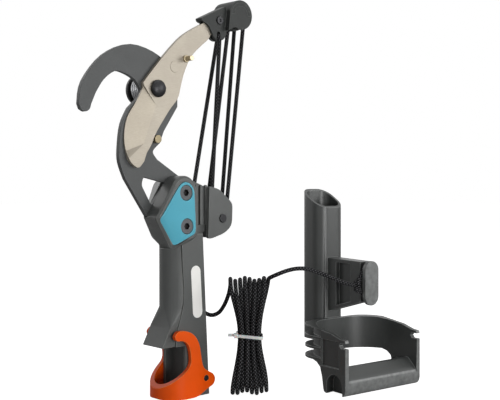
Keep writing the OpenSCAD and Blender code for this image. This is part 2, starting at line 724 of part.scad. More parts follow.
module blade_outline() {
    polygon(concat(
        shift(spline(arm_top), pivot),
        shift(spline(edge_line), pivot),
        shift(spline(spine_line), pivot),
        shift(arm_end, pivot)));
}
module blade() color(c_blade) {
    difference() {
        union() {
            slab(blade_front, blade_rear) blade_outline();
            bar(pivot + half_shear, half_shear_r, blade_front - half_shear_h, blade_front + 1);
        }
        bar(pivot, bolt_d / 2 + run_fit, -20, 20);
        bar(pivot + guide_at, guide_d / 2 + seat_fit, -20, 20);
        bar(pivot + block_screw_at, block_screw_r + seat_fit, -20, 20);
        // hollow grind on the front, deepest at the cutting edge, and the facet where it runs out
        intersection() {
            slab(blade_front - 10, blade_rear + 1) polygon(shift(grind_zone, pivot));
            tilted_cut(pivot + grind_from, pivot + grind_to, blade_front, grind_slope);
        }
        intersection() {
            slab(blade_front - 10, blade_rear + 1) polygon(shift(facet_zone, pivot));
            tilted_cut(pivot + grind_to, pivot + facet_low, blade_front, facet_slope);
        }
    }
}
module guide_pin() color(c_brass) {
    bar(pivot + guide_at, guide_d / 2, blade_front - guide_out, curl_front + guide_rear);
    bar(pivot + guide_at, guide_d / 2 + 1, blade_front - 2, blade_front);
}

// pulley block at the end of the blade's arm
module cap_outline() {
    translate(upper) circle(r = cap_r);
    polygon([upper - [cap_r, 0], pivot + cap_low_left, pivot + cap_low_right, upper + [cap_r, 0]]);
}
module arm_block() color(c_nylon) {
    difference() {
        union() {
            slab(cheek_front, blade_front) polygon(soft(lift(cheek, pivot)));
            slab(blade_rear, cheek_rear) polygon(soft(lift(cheek, pivot)));
            slab(cheek_front, cheek_rear) polygon(shift(ridge, pivot));
            slab(cap_front, cap_rear) cap_outline();
        }
        slab(upper_front_y - pulley_w / 2 - pulley_gap, upper_front_y + pulley_w / 2 + pulley_gap)
            cavity_shape(upper, along);
        slab(upper_rear_y - pulley_w / 2 - pulley_gap, upper_rear_y + pulley_w / 2 + pulley_gap) {
            cavity_shape(upper, along);
            cavity_shape(upper, unit(guide_hole - upper));
        }
        bar(upper, pulley_pin_d / 2 + seat_fit, cap_front + pin_skin, 40);
        bar(pivot + block_screw_at, block_screw_r + seat_fit, -20, 20);
        bar(pivot + block_screw_at, block_head_r + still_gap, -20, cheek_front + 1);
        bar(pivot + cord_hole, cord_hole_r, -20, 20);
        translate([pivot_x + cord_hole[0] - cord_hole_r, -20, pivot_z + cord_hole[1] - 20])
            cube([2 * cord_hole_r, 20 + blade_front + eps, 20]);
        // arched recess on the front face
        difference() {
            bar(upper, cap_r - 2.6, cap_front - 1, cap_front + 0.8);
            bar(upper, cap_r - 6, cap_front - 2, cap_front + 2);
            translate([upper[0] - 30, cap_front - 2, upper[1] - 30]) cube([60, 4, 30]);
        }
    }
}
module block_screw() color(c_steel) {
    difference() {
        union() {
            bar(pivot + block_screw_at, block_head_r, cheek_front - 1.4, cheek_front + 1);
            bar(pivot + block_screw_at, block_screw_r, cheek_front, cheek_rear + 4);
        }
        hex(pivot + block_screw_at, 3, cheek_front - 3, cheek_front);
    }
}
module block_nut() color(c_steel) {
    difference() {
        hex(pivot + block_screw_at, block_nut_af, cheek_rear, cheek_rear + 3.6);
        bar(pivot + block_screw_at, block_screw_r + seat_fit, -20, 20);
    }
}
module upper_pulley_pin() color(c_steel)
    bar(upper, pulley_pin_d / 2, cap_front + pin_skin + still_gap, cap_rear);

module pulley(at, y) color(c_pulley) {
    translate([at[0], y, at[1]]) rotate([90, 0, 0]) difference() {
        rotate_extrude() polygon(concat(
            [[pulley_pin_d / 2 + run_fit, -pulley_w / 2], [rim_r, -pulley_w / 2],
                [rim_r, -groove_half - 0.5]],
            [for (k = [0 : 8]) [pitch_r - groove_half * sin(22.5 * k), -groove_half * cos(22.5 * k)]],
            [[rim_r, groove_half + 0.5], [rim_r, pulley_w / 2],
                [pulley_pin_d / 2 + run_fit, pulley_w / 2]]));
    }
}
module upper_pulley_front() pulley(upper, upper_front_y);
module upper_pulley_rear() pulley(upper, upper_rear_y);
module lower_pulley_front() pulley(lower, lower_front_y);
module lower_pulley_rear() pulley(lower, lower_rear_y);
module lower_pulley_pin() color(c_steel)
    bar(lower, pulley_pin_d / 2, ear_front - ear_wall - 0.8, ear_rear + ear_back);

// lock lever
module lever_pin() color(c_steel)
    bar(lever, lever_pin_d / 2, -lever_in - lever_wall, lever_in + lever_wall);
module lever_plan(half) {
    translate([lever_bow, 0]) circle(r = half);
    translate([lever_bow, -half]) square([60, 2 * half]);
}
module lock_lever() color(c_lever) {
    difference() {
        union() {
            intersection() {
                linear_extrude(lever_knee) difference() {
                    lever_plan(lever_in + lever_wall);
                    lever_plan(lever_in);
                }
                slab(-40, 40) polygon(soft(lever_side));
            }
            for (y = [-lever_in - lever_wall, lever_in]) intersection() {
                slab(y, y + lever_wall) polygon(soft(lever_side));
                translate([-40, -40, lever_knee - 1]) cube([80, 80, lever_tall]);
            }
        }
        bar(lever, lever_pin_d / 2 + run_fit, -40, 40);
    }
}

// tackle cord: from its knot on the arm, four times round the pulleys, down the housing and out
anchor = pivot + cord_hole;
anchor_low = anchor - [0, anchor_bend];
to_anchor = anchor_low - lower;
angle_in = atan2(to_anchor[1], to_anchor[0]) + acos(pitch_r / norm(to_anchor));
to_guide = guide_hole - upper;
angle_out = atan2(to_guide[1], to_guide[0]) + 360 - acos(pitch_r / norm(to_guide));
wrap = 8;
tackle_path = concat(
    [[anchor[0], cheek_rear + 0.4, anchor[1]]],
    [for (k = [0 : 5]) [anchor[0], strand_y + anchor_bend * (1 - sin(18 * k)),
        anchor_low[1] + anchor_bend * cos(18 * k)]],
    arc(lower, pitch_r, lower_front_y, angle_in, 360 + strand_angle, wrap),
    arc(upper, pitch_r, upper_front_y, strand_angle, 180 + strand_angle, wrap),
    arc(lower, pitch_r, lower_rear_y, 180 + strand_angle, 360 + strand_angle, wrap),
    arc(upper, pitch_r, upper_rear_y, strand_angle, angle_out, wrap),
    [[guide_hole[0], 0.3, guide_hole[1]], [channel_x + 1, 0, guide_hole[1] - 14],
        [channel_x, 0, guide_hole[1] - 26], [channel_x, 0, exit_z + 23],
        [channel_x + 0.8, 0, exit_z + 18], [channel_x + 3, 0, exit_z + 12.6],
        [exit_x - 3, 0, exit_z + 3.8], [exit_x, 0, exit_z]]);
module tackle_cord() color(c_cord) tube_along(tackle_path, cord_d, 8);
module anchor_knot() color(c_cord)
    translate([anchor[0], cheek_rear + 0.7 + knot_r, anchor[1]]) sphere(r = knot_r, $fn = 24);

// hank: loops side by side, each seen edge on, drawn in at the waist
function hank_point(s) = let (a = 90 + 360 * s, i = min(floor(s), hank_turns - 1),
    w = hank_waist + (i % 2) * hank_row,
    high = hank_half + hank_uneven * sin(137 * floor(2 * s + 0.5)),
    d = cos(a) * (w + (hank_fold - w) * pow(abs(sin(a)), 1.5)),
    h = (s - hank_turns / 2) * (hank_draw + (hank_pitch - hank_draw) * (1 - pow(cos(a), 4))))
    [hank_x + run_h[0] * h + run_w[0] * d, hank_y + run_h[1] * h + run_w[1] * d, hank_z + high * sin(a)];
hank_path = [for (k = [0 : hank_turns * hank_rings]) hank_point(k / hank_rings)];
module cord_hank() color(c_cord) tube_along(hank_path, cord_d, 6);
echo(hank_gap = self_gap(hank_path, cord_d, 9));
echo(hank_length = sum_of([for (k = [1 : len(hank_path) - 1]) norm(hank_path[k] - hank_path[k - 1])]));
function sum_of(v, i = 0) = i == len(v) ? 0 : v[i] + sum_of(v, i + 1);
module tie_ring(grow) {
    square([2 * (tie_half[0] - tie_round), 2 * (tie_half[1] + grow)], center = true);
    square([2 * (tie_half[0] + grow), 2 * (tie_half[1] - tie_round)], center = true);
    for (i = [-1, 1], j = [-1, 1])
        translate([i * (tie_half[0] - tie_round), j * (tie_half[1] - tie_round)])
            circle(r = tie_round + grow);
}
module cable_tie() color(c_tie) {
    translate([hank_x, hank_y, hank_z - tie_w / 2]) rotate([0, 0, hank_yaw]) {
        linear_extrude(tie_w) difference() {
            tie_ring(tie_t);
            tie_ring(0);
        }
        translate([-tie_half[0] + 4, -tie_half[1] - 4.6, -0.7]) cube([5, 4.6, tie_w + 1.4]);
    }
}

// free stretches of the cord
hank_end = last(hank_path);
hank_start = hank_path[0];
hank_in = unit(hank_path[1] - hank_path[0]);
hank_out = unit(hank_end - hank_path[len(hank_path) - 2]);
cord_gap = 0.3;
cord_lap = 1.6;
exit_at = last(tackle_path);
exit_dir = unit(exit_at - tackle_path[len(tackle_path) - 2]);
lead_path = concat(
    [exit_at + cord_gap * exit_dir, exit_at + 4 * exit_dir],
    [[37.4, -2.4, 77.6], [41.6, -7, 76.4], [45.4, -13, 80], [47.6, -19, 89], [48, -24, 99],
        [47, -27.6, 107.8], [45.6, -29.3, 112.5], [42.8, -32.4, 115.5]],
    [hank_start - cord_lap * hank_in, hank_start - cord_gap * hank_in]);
module lead_cord() color(c_cord) tube_along(lead_path, cord_d, 8);

// pull handle, placed from its own frame
module in_handle() {
    translate([handle_x, handle_y, 0]) rotate([0, 0, handle_yaw]) children();
}
function of_handle(p) = [handle_x + p[0] * cos(handle_yaw) - p[1] * sin(handle_yaw),
    handle_y + p[0] * sin(handle_yaw) + p[1] * cos(handle_yaw), p[2]];
neck_y = -cleat_reach + cleat_t + neck_gap / 2;
loop_out = neck_w / 2 + cord_d / 2 + still_gap;
neck_bow = (neck_h - neck_w) / 2;
tie_knot = [-cleat_w / 2 - 4.6, neck_y, cleat_z - 2];
tie_knot_size = [4.1, 3.8, 7.4];
handle_end = of_handle(tie_knot + [-tie_knot_size[0] - 0.1, 0, 1]);
handle_path = concat(
    [hank_end + cord_gap * hank_out, hank_end + cord_lap * hank_out],
    [[65, -67.2, 118], [65.2, -72, 120], [68, -76.2, 122.2], [74.5, -80, 124.8],
        [84.5, -83.6, 126.6], [96, -87, 126], [109, -91, 122], [121, -95.4, 117], [132, -100, 112],
        [141, -103.4, 108.8]],
    [handle_end]);
module handle_cord() color(c_cord) tube_along(handle_path, cord_d, 8);

// the cord's loop round the cleat's neck, and its knot
knot_turn = [for (q = concat([[tie_knot[0] + 1, 3]],
    [for (k = [0 : 8]) [loop_out * cos(165 - 165 / 8 * k), neck_bow + loop_out * sin(165 - 165 / 8 * k)]],
    [for (k = [0 : 8]) [loop_out * cos(-165 / 8 * k), -neck_bow + loop_out * sin(-165 / 8 * k)]],
    [[tie_knot[0] + 1, -6]])) of_handle([q[0], neck_y, cleat_z + q[1]])];
module cleat_knot() color(c_cord) {
    tube_along(knot_turn, cord_d, 8);
    in_handle() translate(tie_knot) rotate_extrude($fn = 12) polygon([for (k = [0 : 12])
        let (a = -90 + 15 * k) [tie_knot_size[0] * cos(a), tie_knot_size[2] * sin(a)]]);
}

module round_box(w, d, r) {
    hull() for (i = [-1, 1], j = [-1, 1])
        translate([i * (w / 2 - r), j * (d / 2 - r)]) circle(r = r, $fn = 32);
}
// plan of the hand loop, drawn in by an inset, with its rear corners rounded
module loop_plan(inset, r) {
    rear = loop_rear - inset;
    half = loop_half - inset;
    polygon(concat(
        [[half, bar_front - 1], [half, rear - r]],
        [for (k = [0 : 12]) [half - r + r * cos(7.5 * k), rear - r + r * sin(7.5 * k)]],
        [for (k = [12 : -1 : 0]) [-half + r - r * cos(7.5 * k), rear - r + r * sin(7.5 * k)]],
        [[-half, bar_front - 1]]));
}
// side outline of the hand loop, [y, z]
loop_side = concat(
    [[bar_front + 7, 0], [leg_foot_rear - 4, 0], [leg_foot_rear - 1, 1.2], [leg_foot_rear, 4],
        [leg_foot_rear + 2, 16], [leg_rear - 2, loop_low - 6], [leg_rear + 3, loop_low - 2],
        [leg_rear + 9, loop_low], [10, loop_low], [10, loop_top], [-40, loop_top - 1]],
    [[bar_front + 22, loop_top - 5], [bar_front + 8, loop_top - 9], [bar_front + 1, notch_z + notch_h + 3],
        [bar_front, notch_z + notch_h], [bar_front + notch_depth - 2, notch_z + notch_h],
        [bar_front + notch_depth, notch_z + notch_h / 2], [bar_front + notch_depth - 2, notch_z],
        [bar_front, notch_z]],
    [[bar_front, 8], [bar_front + 0.6, 4.6], [bar_front + 2.2, 2], [bar_front + 4.4, 0.5]]);
bar_side = [[bar_front + 7, 0], [bar_front + bar_d - 3, 0], [bar_front + bar_d - 0.8, 1.2],
    [bar_front + bar_d, 4],
    [bar_front + bar_d, bar_h - 3], [bar_front + bar_d - 3, bar_h], [bar_front + bar_d - 7, bar_h - 0.4],
    [bar_front + 4, bar_h - 8], [bar_front + 1, bar_h - 11], [bar_front, bar_h - 14],
    [bar_front, 8], [bar_front + 0.6, 4.6], [bar_front + 2.2, 2], [bar_front + 4.4, 0.5]];
block_side = [[bar_front + 7, 0.2], [leg_foot_rear - 5, 0.2], [leg_foot_rear - 1, 4],
    [leg_foot_rear, block_h - 5],
    [leg_foot_rear - 3, block_h], [bar_front + 5, block_h], [bar_front + 2, block_h - 6], [bar_front + 2, 4]];
module from_side(half, w) {
    translate([half - w, 0, 0]) rotate([90, 0, 90]) linear_extrude(w) children();
}
module pull_handle() color(c_handle) in_handle() difference() {
    union() {
        // tube for the pole
        translate([0, 0, tube_foot]) linear_extrude(tube_top - tube_foot)
            round_box(tube_w, tube_d, tube_round);
        // hand loop
        intersection() {
            translate([0, 0, 0]) linear_extrude(loop_top + 10) difference() {
                loop_plan(0, loop_round);
                loop_plan(loop_wall, loop_sweep);
            }
            from_side(loop_half + 1, loop_w + 2) polygon(loop_side);
        }
        from_side(loop_half - 1, loop_w - 2) polygon(bar_side);
        for (h = [loop_half - 1, -loop_half + block_w]) from_side(h, block_w - 1) polygon(block_side);
        // cord cleat
        difference() {
            from_side(arm_half, 2 * arm_half) polygon([[-tube_d / 2 + 1, cleat_z - cleat_h / 2 - arm_drop],
                [-tube_d / 2 + 1, cleat_z + cleat_h / 2], [arm_end_y, cleat_z + cleat_h / 2 - 1],
                [arm_end_y, cleat_z - cleat_h / 2 + 3]]);
            for (h = [arm_half + 1, -arm_web]) from_side(h, arm_half + 1 - arm_web) polygon([
                [-tube_d / 2 - arm_root, cleat_z - cleat_h / 2 - arm_drop + 2 * arm_frame],
                [-tube_d / 2 - arm_root, cleat_z + cleat_h / 2 - arm_frame],
                [arm_end_y + arm_tip, cleat_z + cleat_h / 2 - arm_frame - 0.5],
                [arm_end_y + arm_tip, cleat_z - cleat_h / 2 - arm_drop + 3.5 * arm_frame]]);
        }
        translate([0, arm_end_y + 0.5, cleat_z]) rotate([90, 0, 0]) linear_extrude(neck_gap + 1) {
            square([neck_w, 2 * neck_bow], center = true);
            for (i = [-1, 1]) translate([0, i * neck_bow]) circle(d = neck_w);
        }
        translate([0, -cleat_reach + cleat_t, cleat_z]) rotate([90, 0, 0]) linear_extrude(cleat_t) hull() {
            for (i = [-1, 1]) translate([0, i * (cleat_h - cleat_w) / 2]) circle(d = cleat_w, $fn = 32);
        }
    }
    // bore of the tube and its slanted top
    translate([0, 0, tube_foot - 20]) linear_extrude(tube_top)
        round_box(tube_w - 2 * tube_wall, tube_d - 2 * tube_wall, tube_round - tube_wall);
    translate([0, tube_d / 2, tube_top]) rotate([atan(tube_slant / tube_d), 0, 0])
        translate([-40, -80, 0]) cube([80, 100, 60]);
    // gaps between the fins at the loop's rear corners
    for (i = [0 : fin_count - 2]) translate([0, 0, loop_low + fin_t + i * fin_step])
        linear_extrude(fin_step - fin_t) difference() {
            translate([-loop_half - 1, fin_front]) square([loop_w + 2, loop_rear + eps - fin_front]);
            loop_plan(fin_web, loop_sweep);
            translate([-tube_w / 2 - 4, fin_front - 1]) square([tube_w + 8, loop_rear + 2 - fin_front]);
        }
    // arched hollows in the ends of the hand bar, and the recessed outer webs
    for (i = [-1, 1]) {
        from_side(i > 0 ? loop_half + 1 : -loop_half + arch_depth, arch_depth + 1) polygon(concat(
            [[arch_mid - arch_r, -eps], [arch_mid + arch_r, -eps]],
            [for (k = [0 : 12]) [arch_mid + arch_r * cos(15 * k), arch_foot + arch_r * sin(15 * k)]]));
        translate([i > 0 ? loop_half - pocket : -loop_half - 1, bar_front + post_t + 5, block_h + 3])
            cube([pocket + 1, leg_rear - bar_front - post_t - 9, loop_top - block_h - 15]);
    }
}

housing();
cover_plate();
clamp_screw_top();
clamp_screw_low();
clamp_nut_top();
clamp_nut_low();
hook_plate();
stop_pin();
pivot_bolt();
spring_spool();
pivot_nut();
return_spring();
blade();
arm_block();
block_screw();
block_nut();
upper_pulley_pin();
guide_pin();
upper_pulley_front();
upper_pulley_rear();
lower_pulley_front();
lower_pulley_rear();
lower_pulley_pin();
lever_pin();
lock_lever();
tackle_cord();
anchor_knot();
lead_cord();
cord_hank();
cable_tie();
handle_cord();
cleat_knot();
pull_handle();
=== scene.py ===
# %% [markdown]
# # A rope-pulled pruning head, its cord hank and its pull handle
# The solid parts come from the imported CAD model, which this script loads as a fixed frame.
# Blender adds what the eye wants and a solid doesn't need: broken edges, braided cord, knots,
# finishes and light. Every length in the script is in millimetres, and `MM` turns it to metres.

# %% Load the frame
import json
import math

import bmesh
import bpy
from mathutils import Matrix, Quaternion, Vector


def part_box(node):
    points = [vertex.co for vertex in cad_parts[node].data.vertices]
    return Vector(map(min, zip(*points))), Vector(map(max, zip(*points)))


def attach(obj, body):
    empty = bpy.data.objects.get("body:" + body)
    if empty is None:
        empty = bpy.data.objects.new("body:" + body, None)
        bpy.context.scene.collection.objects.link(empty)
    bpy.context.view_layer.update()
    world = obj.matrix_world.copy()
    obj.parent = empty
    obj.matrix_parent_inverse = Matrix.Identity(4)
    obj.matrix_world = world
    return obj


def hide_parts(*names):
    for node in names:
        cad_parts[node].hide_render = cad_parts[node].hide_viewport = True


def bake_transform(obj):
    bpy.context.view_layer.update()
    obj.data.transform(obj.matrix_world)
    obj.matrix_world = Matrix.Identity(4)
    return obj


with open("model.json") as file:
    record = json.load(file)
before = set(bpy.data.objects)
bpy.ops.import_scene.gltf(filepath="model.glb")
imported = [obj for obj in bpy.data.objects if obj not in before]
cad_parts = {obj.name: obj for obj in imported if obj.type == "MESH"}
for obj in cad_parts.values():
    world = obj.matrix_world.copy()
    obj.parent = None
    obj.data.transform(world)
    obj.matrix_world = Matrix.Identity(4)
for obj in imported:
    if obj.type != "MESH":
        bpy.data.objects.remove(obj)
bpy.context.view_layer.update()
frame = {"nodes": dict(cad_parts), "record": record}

MM = 0.001
UP = Vector((0, 0, 1))
BODIES = frame["record"]["behaviour"]["bodies"]
BODY_OF = {node: body for body, nodes in BODIES.items() for node in nodes}


def mm(*values):
    """A point given in millimetres, as a vector in metres."""
    return Vector(values) * MM


def cos_sin(angle):
    """Cosine and sine of an angle in degrees."""
    return math.cos(math.radians(angle)), math.sin(math.radians(angle))


# %% [markdown]
# ## Camera
# The photograph looks level at the set from the front left, from a little over a metre away.
# A level camera keeps uprights upright, so the picture is slid with lens shift, as a product
# photographer slides a view camera, and the camera isn't tipped.

# %% Camera
VIEW_WIDTH, HORIZON_ABOVE_MIDDLE, FOCAL_PX = 500, 22, 900
EYE = mm(-560.4, -708.0, 217.0)
GAZE = Vector((0.682, 0.731, 0.0)).normalized()

lens = bpy.data.cameras.new("photo_lens")
lens.sensor_width = 36.0
lens.lens = lens.sensor_width * FOCAL_PX / VIEW_WIDTH
lens.shift_y = -HORIZON_ABOVE_MIDDLE / VIEW_WIDTH
camera = bpy.data.objects.new("photo_camera", lens)
camera.location = EYE
camera.rotation_euler = GAZE.to_track_quat("-Z", "Y").to_euler()
bpy.context.collection.objects.link(camera)
bpy.context.scene.camera = camera
print(f"camera: {lens.lens:.1f} mm lens, shift {lens.shift_y:.3f}")

# %% [markdown]
# ## One function for nodes, one for colours
# A material is a small graph. Colours are read off the object as sRGB hex values, and a shader
# wants linear light, so one function turns one into the other. One more function adds a node,
# sets what is constant and links what isn't. A node that is given as an input is linked by its
# first output.

# %% Node and colour helpers
def srgb(code):
    """An sRGB hex value as the linear colour that a shader socket takes."""
    parts = [int(code[i:i + 2], 16) / 255 for i in (1, 3, 5)]
    return [c / 12.92 if c <= 0.04045 else ((c + 0.055) / 1.055) ** 2.4 for c in parts] + [1.0]


def put(tree, kind, inputs=None, **settings):
    """Adds a node, with its settings, and sets or links its inputs."""
    node = tree.nodes.new(kind)
    for key, value in settings.items():
        setattr(node, key, value)
    for key, value in (inputs or {}).items():
        if isinstance(value, bpy.types.Node):
            value = value.outputs[0]
        if isinstance(value, bpy.types.NodeSocket):
            tree.links.new(value, node.inputs[key])
        else:
            node.inputs[key].default_value = value
    return node


def blank_finish(name):
    """A new material whose graph holds only its output."""
    finish = bpy.data.materials.new(name)
    finish.use_nodes = True
    finish.node_tree.nodes.clear()
    return finish, finish.node_tree, put(finish.node_tree, "ShaderNodeOutputMaterial")


print("colour test: #5a5a58 is", [round(c, 3) for c in srgb("#5a5a58")])

# %% [markdown]
# ## Braided cord
# The pull cord is a black braid of about 4 mm: sixteen flat strands that cross left over right.
# A strand catches light where it crosses over another, and is dark where it dives under. The
# braid could be modelled strand by strand, but two metres of it would be millions of faces, so
# the tube carries a UV map, once round and so many pitches along, and two sets of waves cross
# on it to lift the strands and to paint their light and shade: a painted highlight on the crowns
# and painted shade in the gaps.

# %% Braided polyester
CORD_D = 3.8
BRAID_R = CORD_D / 2 + 0.2   # the strands' crowns stand a little proud of the cord's core
BRAID_PITCH = 6.8   # drawn coarser than the true 4.5 mm, so that it shows at a step's distance
BRAID_ROUND = 2.0   # waves round the cord each way, fewer than the true eight
FIBRE, FIBRE_SHARE = 0.9, 0.2   # the fuzz of single fibres, and how much it shifts the weave
GAP_BELOW, CROWN_ABOVE = 0.55, 0.95   # heights in the weave painted as shaded gap and as lit crown
STRAND_DEPTH = 0.35

# black polyester: dull; the grey flecks on the crowns are a painted highlight and the black gaps a
# painted shade
braid_cord, tree, out = blank_finish("braided_black_polyester")
uv = put(tree, "ShaderNodeUVMap", uv_map="braid")
on_cord = put(tree, "ShaderNodeSeparateXYZ", {0: uv})
waves = put(tree, "ShaderNodeMath", {0: on_cord, 1: BRAID_ROUND}, operation="MULTIPLY")
crowns = []
for hand in ("ADD", "SUBTRACT"):
    strand = put(tree, "ShaderNodeMath", {0: waves, 1: on_cord.outputs[1]}, operation=hand)
    phase = put(tree, "ShaderNodeMath", {0: strand, 1: 2 * math.pi}, operation="MULTIPLY")
    wave = put(tree, "ShaderNodeMath", {0: phase}, operation="SINE")
    crowns.append(put(tree, "ShaderNodeMath", {0: wave}, operation="ABSOLUTE"))
weave = put(tree, "ShaderNodeMath", {0: crowns[0], 1: crowns[1]}, operation="MINIMUM")
where = put(tree, "ShaderNodeTexCoord").outputs["Object"]
fibre = put(tree, "ShaderNodeTexNoise", {"Vector": where, "Scale": 1 / (FIBRE * MM), "Detail": 3.0})
lift = put(tree, "ShaderNodeMath", {0: fibre, 1: FIBRE_SHARE, 2: weave}, operation="MULTIPLY_ADD")
# the ramp paints a highlight on the crowns and shade in the gaps
weave_light_and_shade = put(tree, "ShaderNodeValToRGB", {0: lift})
gap, crown = weave_light_and_shade.color_ramp.elements
gap.position, gap.color = GAP_BELOW, srgb("#020203")
crown.position, crown.color = CROWN_ABOVE, srgb("#5a5a5c")
bump = put(tree, "ShaderNodeBump", {"Height": lift, "Strength": 0.8, "Distance": STRAND_DEPTH * MM})
cloth = put(tree, "ShaderNodeBsdfPrincipled", {
    "Base Color": weave_light_and_shade, "Roughness": 0.72, "Specular IOR Level": 0.05, "Sheen Weight": 0.01,
    "Normal": bump})
tree.links.new(cloth.outputs[0], out.inputs[0])
print("cord finish:", len(tree.nodes), "nodes")

# %% [markdown]
# ## A tube that follows a line
# Cords, knots and the spring's wire are all a round section carried along a line. A Curve with a
# bevel would do it too, but a mesh tube gives control of the UV map, and it can be bent by a joint.
# The section is carried without twist: at each point the last side vector is laid flat again
# against the new direction.

# %% Lines
def smooth_line(points, steps):
    """A Catmull-Rom line through the points."""
    points = [Vector(p) for p in points]
    last = len(points) - 1
    line = []
    for i in range(last):
        a, b, c, d = (points[max(i - 1, 0)], points[i], points[i + 1], points[min(i + 2, last)])
        for k in range(steps):
            t = k / steps
            line.append(0.5 * (2 * b + (c - a) * t + (2 * a - 5 * b + 4 * c - d) * t ** 2
                               + (3 * b - a - 3 * c + d) * t ** 3))
    return line + [points[-1]]


def spread_line(points, step):
    """The same line with extra points, so that none are more than a step apart."""
    line = [Vector(points[0])]
    for a, b in zip(points, points[1:]):
        a, b = Vector(a), Vector(b)
        parts = max(1, math.ceil((b - a).length / step))
        line += [a.lerp(b, k / parts) for k in range(1, parts + 1)]
    return line


def length_of(line):
    """The length of a line of points."""
    return sum((b - a).length for a, b in zip(line, line[1:]))


print("lines: helpers ready")

# %% Tubes
CAP_TURN = math.radians(60)   # only a tube's end caps turn more sharply than this


def tube_mesh(name, line, radius, sides, pitch=BRAID_PITCH):
    """A closed round tube in metres along a line in millimetres, with a UV map for a braid."""
    last = len(line) - 1
    ways = [(line[min(i + 1, last)] - line[max(i - 1, 0)]).normalized() for i in range(last + 1)]
    side = ways[0].orthogonal().normalized()
    points, faces, marks, run = [], [], [], 0.0
    for i, (point, way) in enumerate(zip(line, ways)):
        side = (side - way * side.dot(way)).normalized()
        other = way.cross(side)
        run += (point - line[max(i - 1, 0)]).length
        marks.append(run / pitch)
        for k in range(sides):
            a = 2 * math.pi * k / sides
            points.append((point + radius * (math.cos(a) * side + math.sin(a) * other)) * MM)
    for i in range(last):
        for k in range(sides):
            j = (k + 1) % sides
            faces.append((i * sides + k, i * sides + j, (i + 1) * sides + j, (i + 1) * sides + k))
    faces.append(tuple(range(sides - 1, -1, -1)))
    faces.append(tuple(last * sides + k for k in range(sides)))
    mesh = bpy.data.meshes.new(name)
    mesh.from_pydata(points, [], faces)
    layer = mesh.uv_layers.new(name="braid")
    for f in range(last * sides):
        i, k = divmod(f, sides)
        corners = ((k, i), (k + 1, i), (k + 1, i + 1), (k, i + 1))
        for loop, (u, v) in zip(mesh.polygons[f].loop_indices, corners):
            layer.data[loop].uv = (u / sides, marks[v])
    mesh.polygons.foreach_set("use_smooth", [True] * len(mesh.polygons))
    mesh.set_sharp_from_angle(angle=CAP_TURN)
    return mesh


def place(name, mesh, finish, nodes=(), body=None):
    """Puts a finished mesh into the scene, on its body, for the CAD nodes that it stands for."""
    mesh.materials.clear()
    mesh.materials.append(finish)
    piece = bpy.data.objects.new(name, mesh)
    bpy.context.collection.objects.link(piece)
    if body:
        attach(piece, body)
    if nodes:
        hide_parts(*nodes)
    return piece


print("tubes: helpers ready")

# %% [markdown]
# ## The free cord
# The cord leaves the grip on its right, climbs to the hank, is wound up in eight upright loops and
# runs on to the pull handle. The loops stand side by side and are seen edge on. A tie draws them
# in at the waist, so each loop is an hourglass from the side, and the hank is one from the front.
# A rule makes the line, as it does in the solid model: an angle that turns eight times, while the
# loop's depth and its place in the row follow from that angle.

# %% Rule of the hank
HANK = Vector((53.0, -50.0, 0.0))
HANK_YAW = -43.0
HANK_TURNS, HANK_STEPS = 8, 24
HANK_HALF, HANK_UNEVEN, UNEVEN_TURN = 56.0, 1.5, 137
HANK_WAIST, HANK_ROW, HANK_FOLD, FOLD_EASE = 2.6, 5.4, 30.0, 1.5
HANK_PITCH, HANK_DRAW, DRAW_EASE = 4.8, 2.6, 4
HANK_Z = HANK_HALF + HANK_UNEVEN + CORD_D / 2 + 0.4
yaw_cos, yaw_sin = cos_sin(HANK_YAW)
ALONG_ROW = Vector((yaw_cos, yaw_sin, 0.0))
AWAY = Vector((-yaw_sin, yaw_cos, 0.0))


def hank_point(s):
    """The cord's middle after s loops."""
    c, sine = cos_sin(90 + 360 * s)
    loop = min(math.floor(s), HANK_TURNS - 1)
    waist = HANK_WAIST + (loop % 2) * HANK_ROW
    uneven = math.sin(math.radians(UNEVEN_TURN * math.floor(2 * s + 0.5)))
    high = HANK_HALF + HANK_UNEVEN * uneven
    depth = c * (waist + (HANK_FOLD - waist) * abs(sine) ** FOLD_EASE)
    row = (s - HANK_TURNS / 2) * (HANK_DRAW + (HANK_PITCH - HANK_DRAW) * (1 - c ** DRAW_EASE))
    return HANK + ALONG_ROW * row + AWAY * depth + UP * (HANK_Z + high * sine)


hank = [hank_point(k / HANK_STEPS) for k in range(HANK_TURNS * HANK_STEPS + 1)]
print(f"hank: {length_of(hank):.0f} mm in {HANK_TURNS} loops")

# %% Free cord
EXIT = Vector((31.0, 0.0, 84.0))
KNOT_END = Vector((149.5, -104.5, 107.0))
TUBE_SIDES = 12
lead = [EXIT, (33.5, 0, 80.9), (37.4, -2.4, 77.6), (41.6, -7, 76.4), (45.4, -13, 80),
        (47.6, -19, 89), (48, -24, 99), (47, -27.6, 107.8), (45.6, -29.3, 112.5),
        (42.8, -32.4, 115.5)]
to_handle = [(65, -67.2, 118), (65.2, -72, 120), (68, -76.2, 122.2), (74.5, -80, 124.8),
             (84.5, -83.6, 126.6), (96, -87, 126), (109, -91, 122), (121, -95.4, 117),
             (132, -100, 112), (141, -103.4, 108.8), KNOT_END]
cord_line = smooth_line(lead + hank + to_handle, 3)
cord_mesh = tube_mesh("free_cord", cord_line, BRAID_R, TUBE_SIDES)
free_cord = place("free_cord", cord_mesh, braid_cord,
                  ("lead_cord", "cord_hank", "handle_cord"), "head")
print(f"free cord: {length_of(cord_line):.0f} mm, {len(cord_mesh.polygons)} faces")
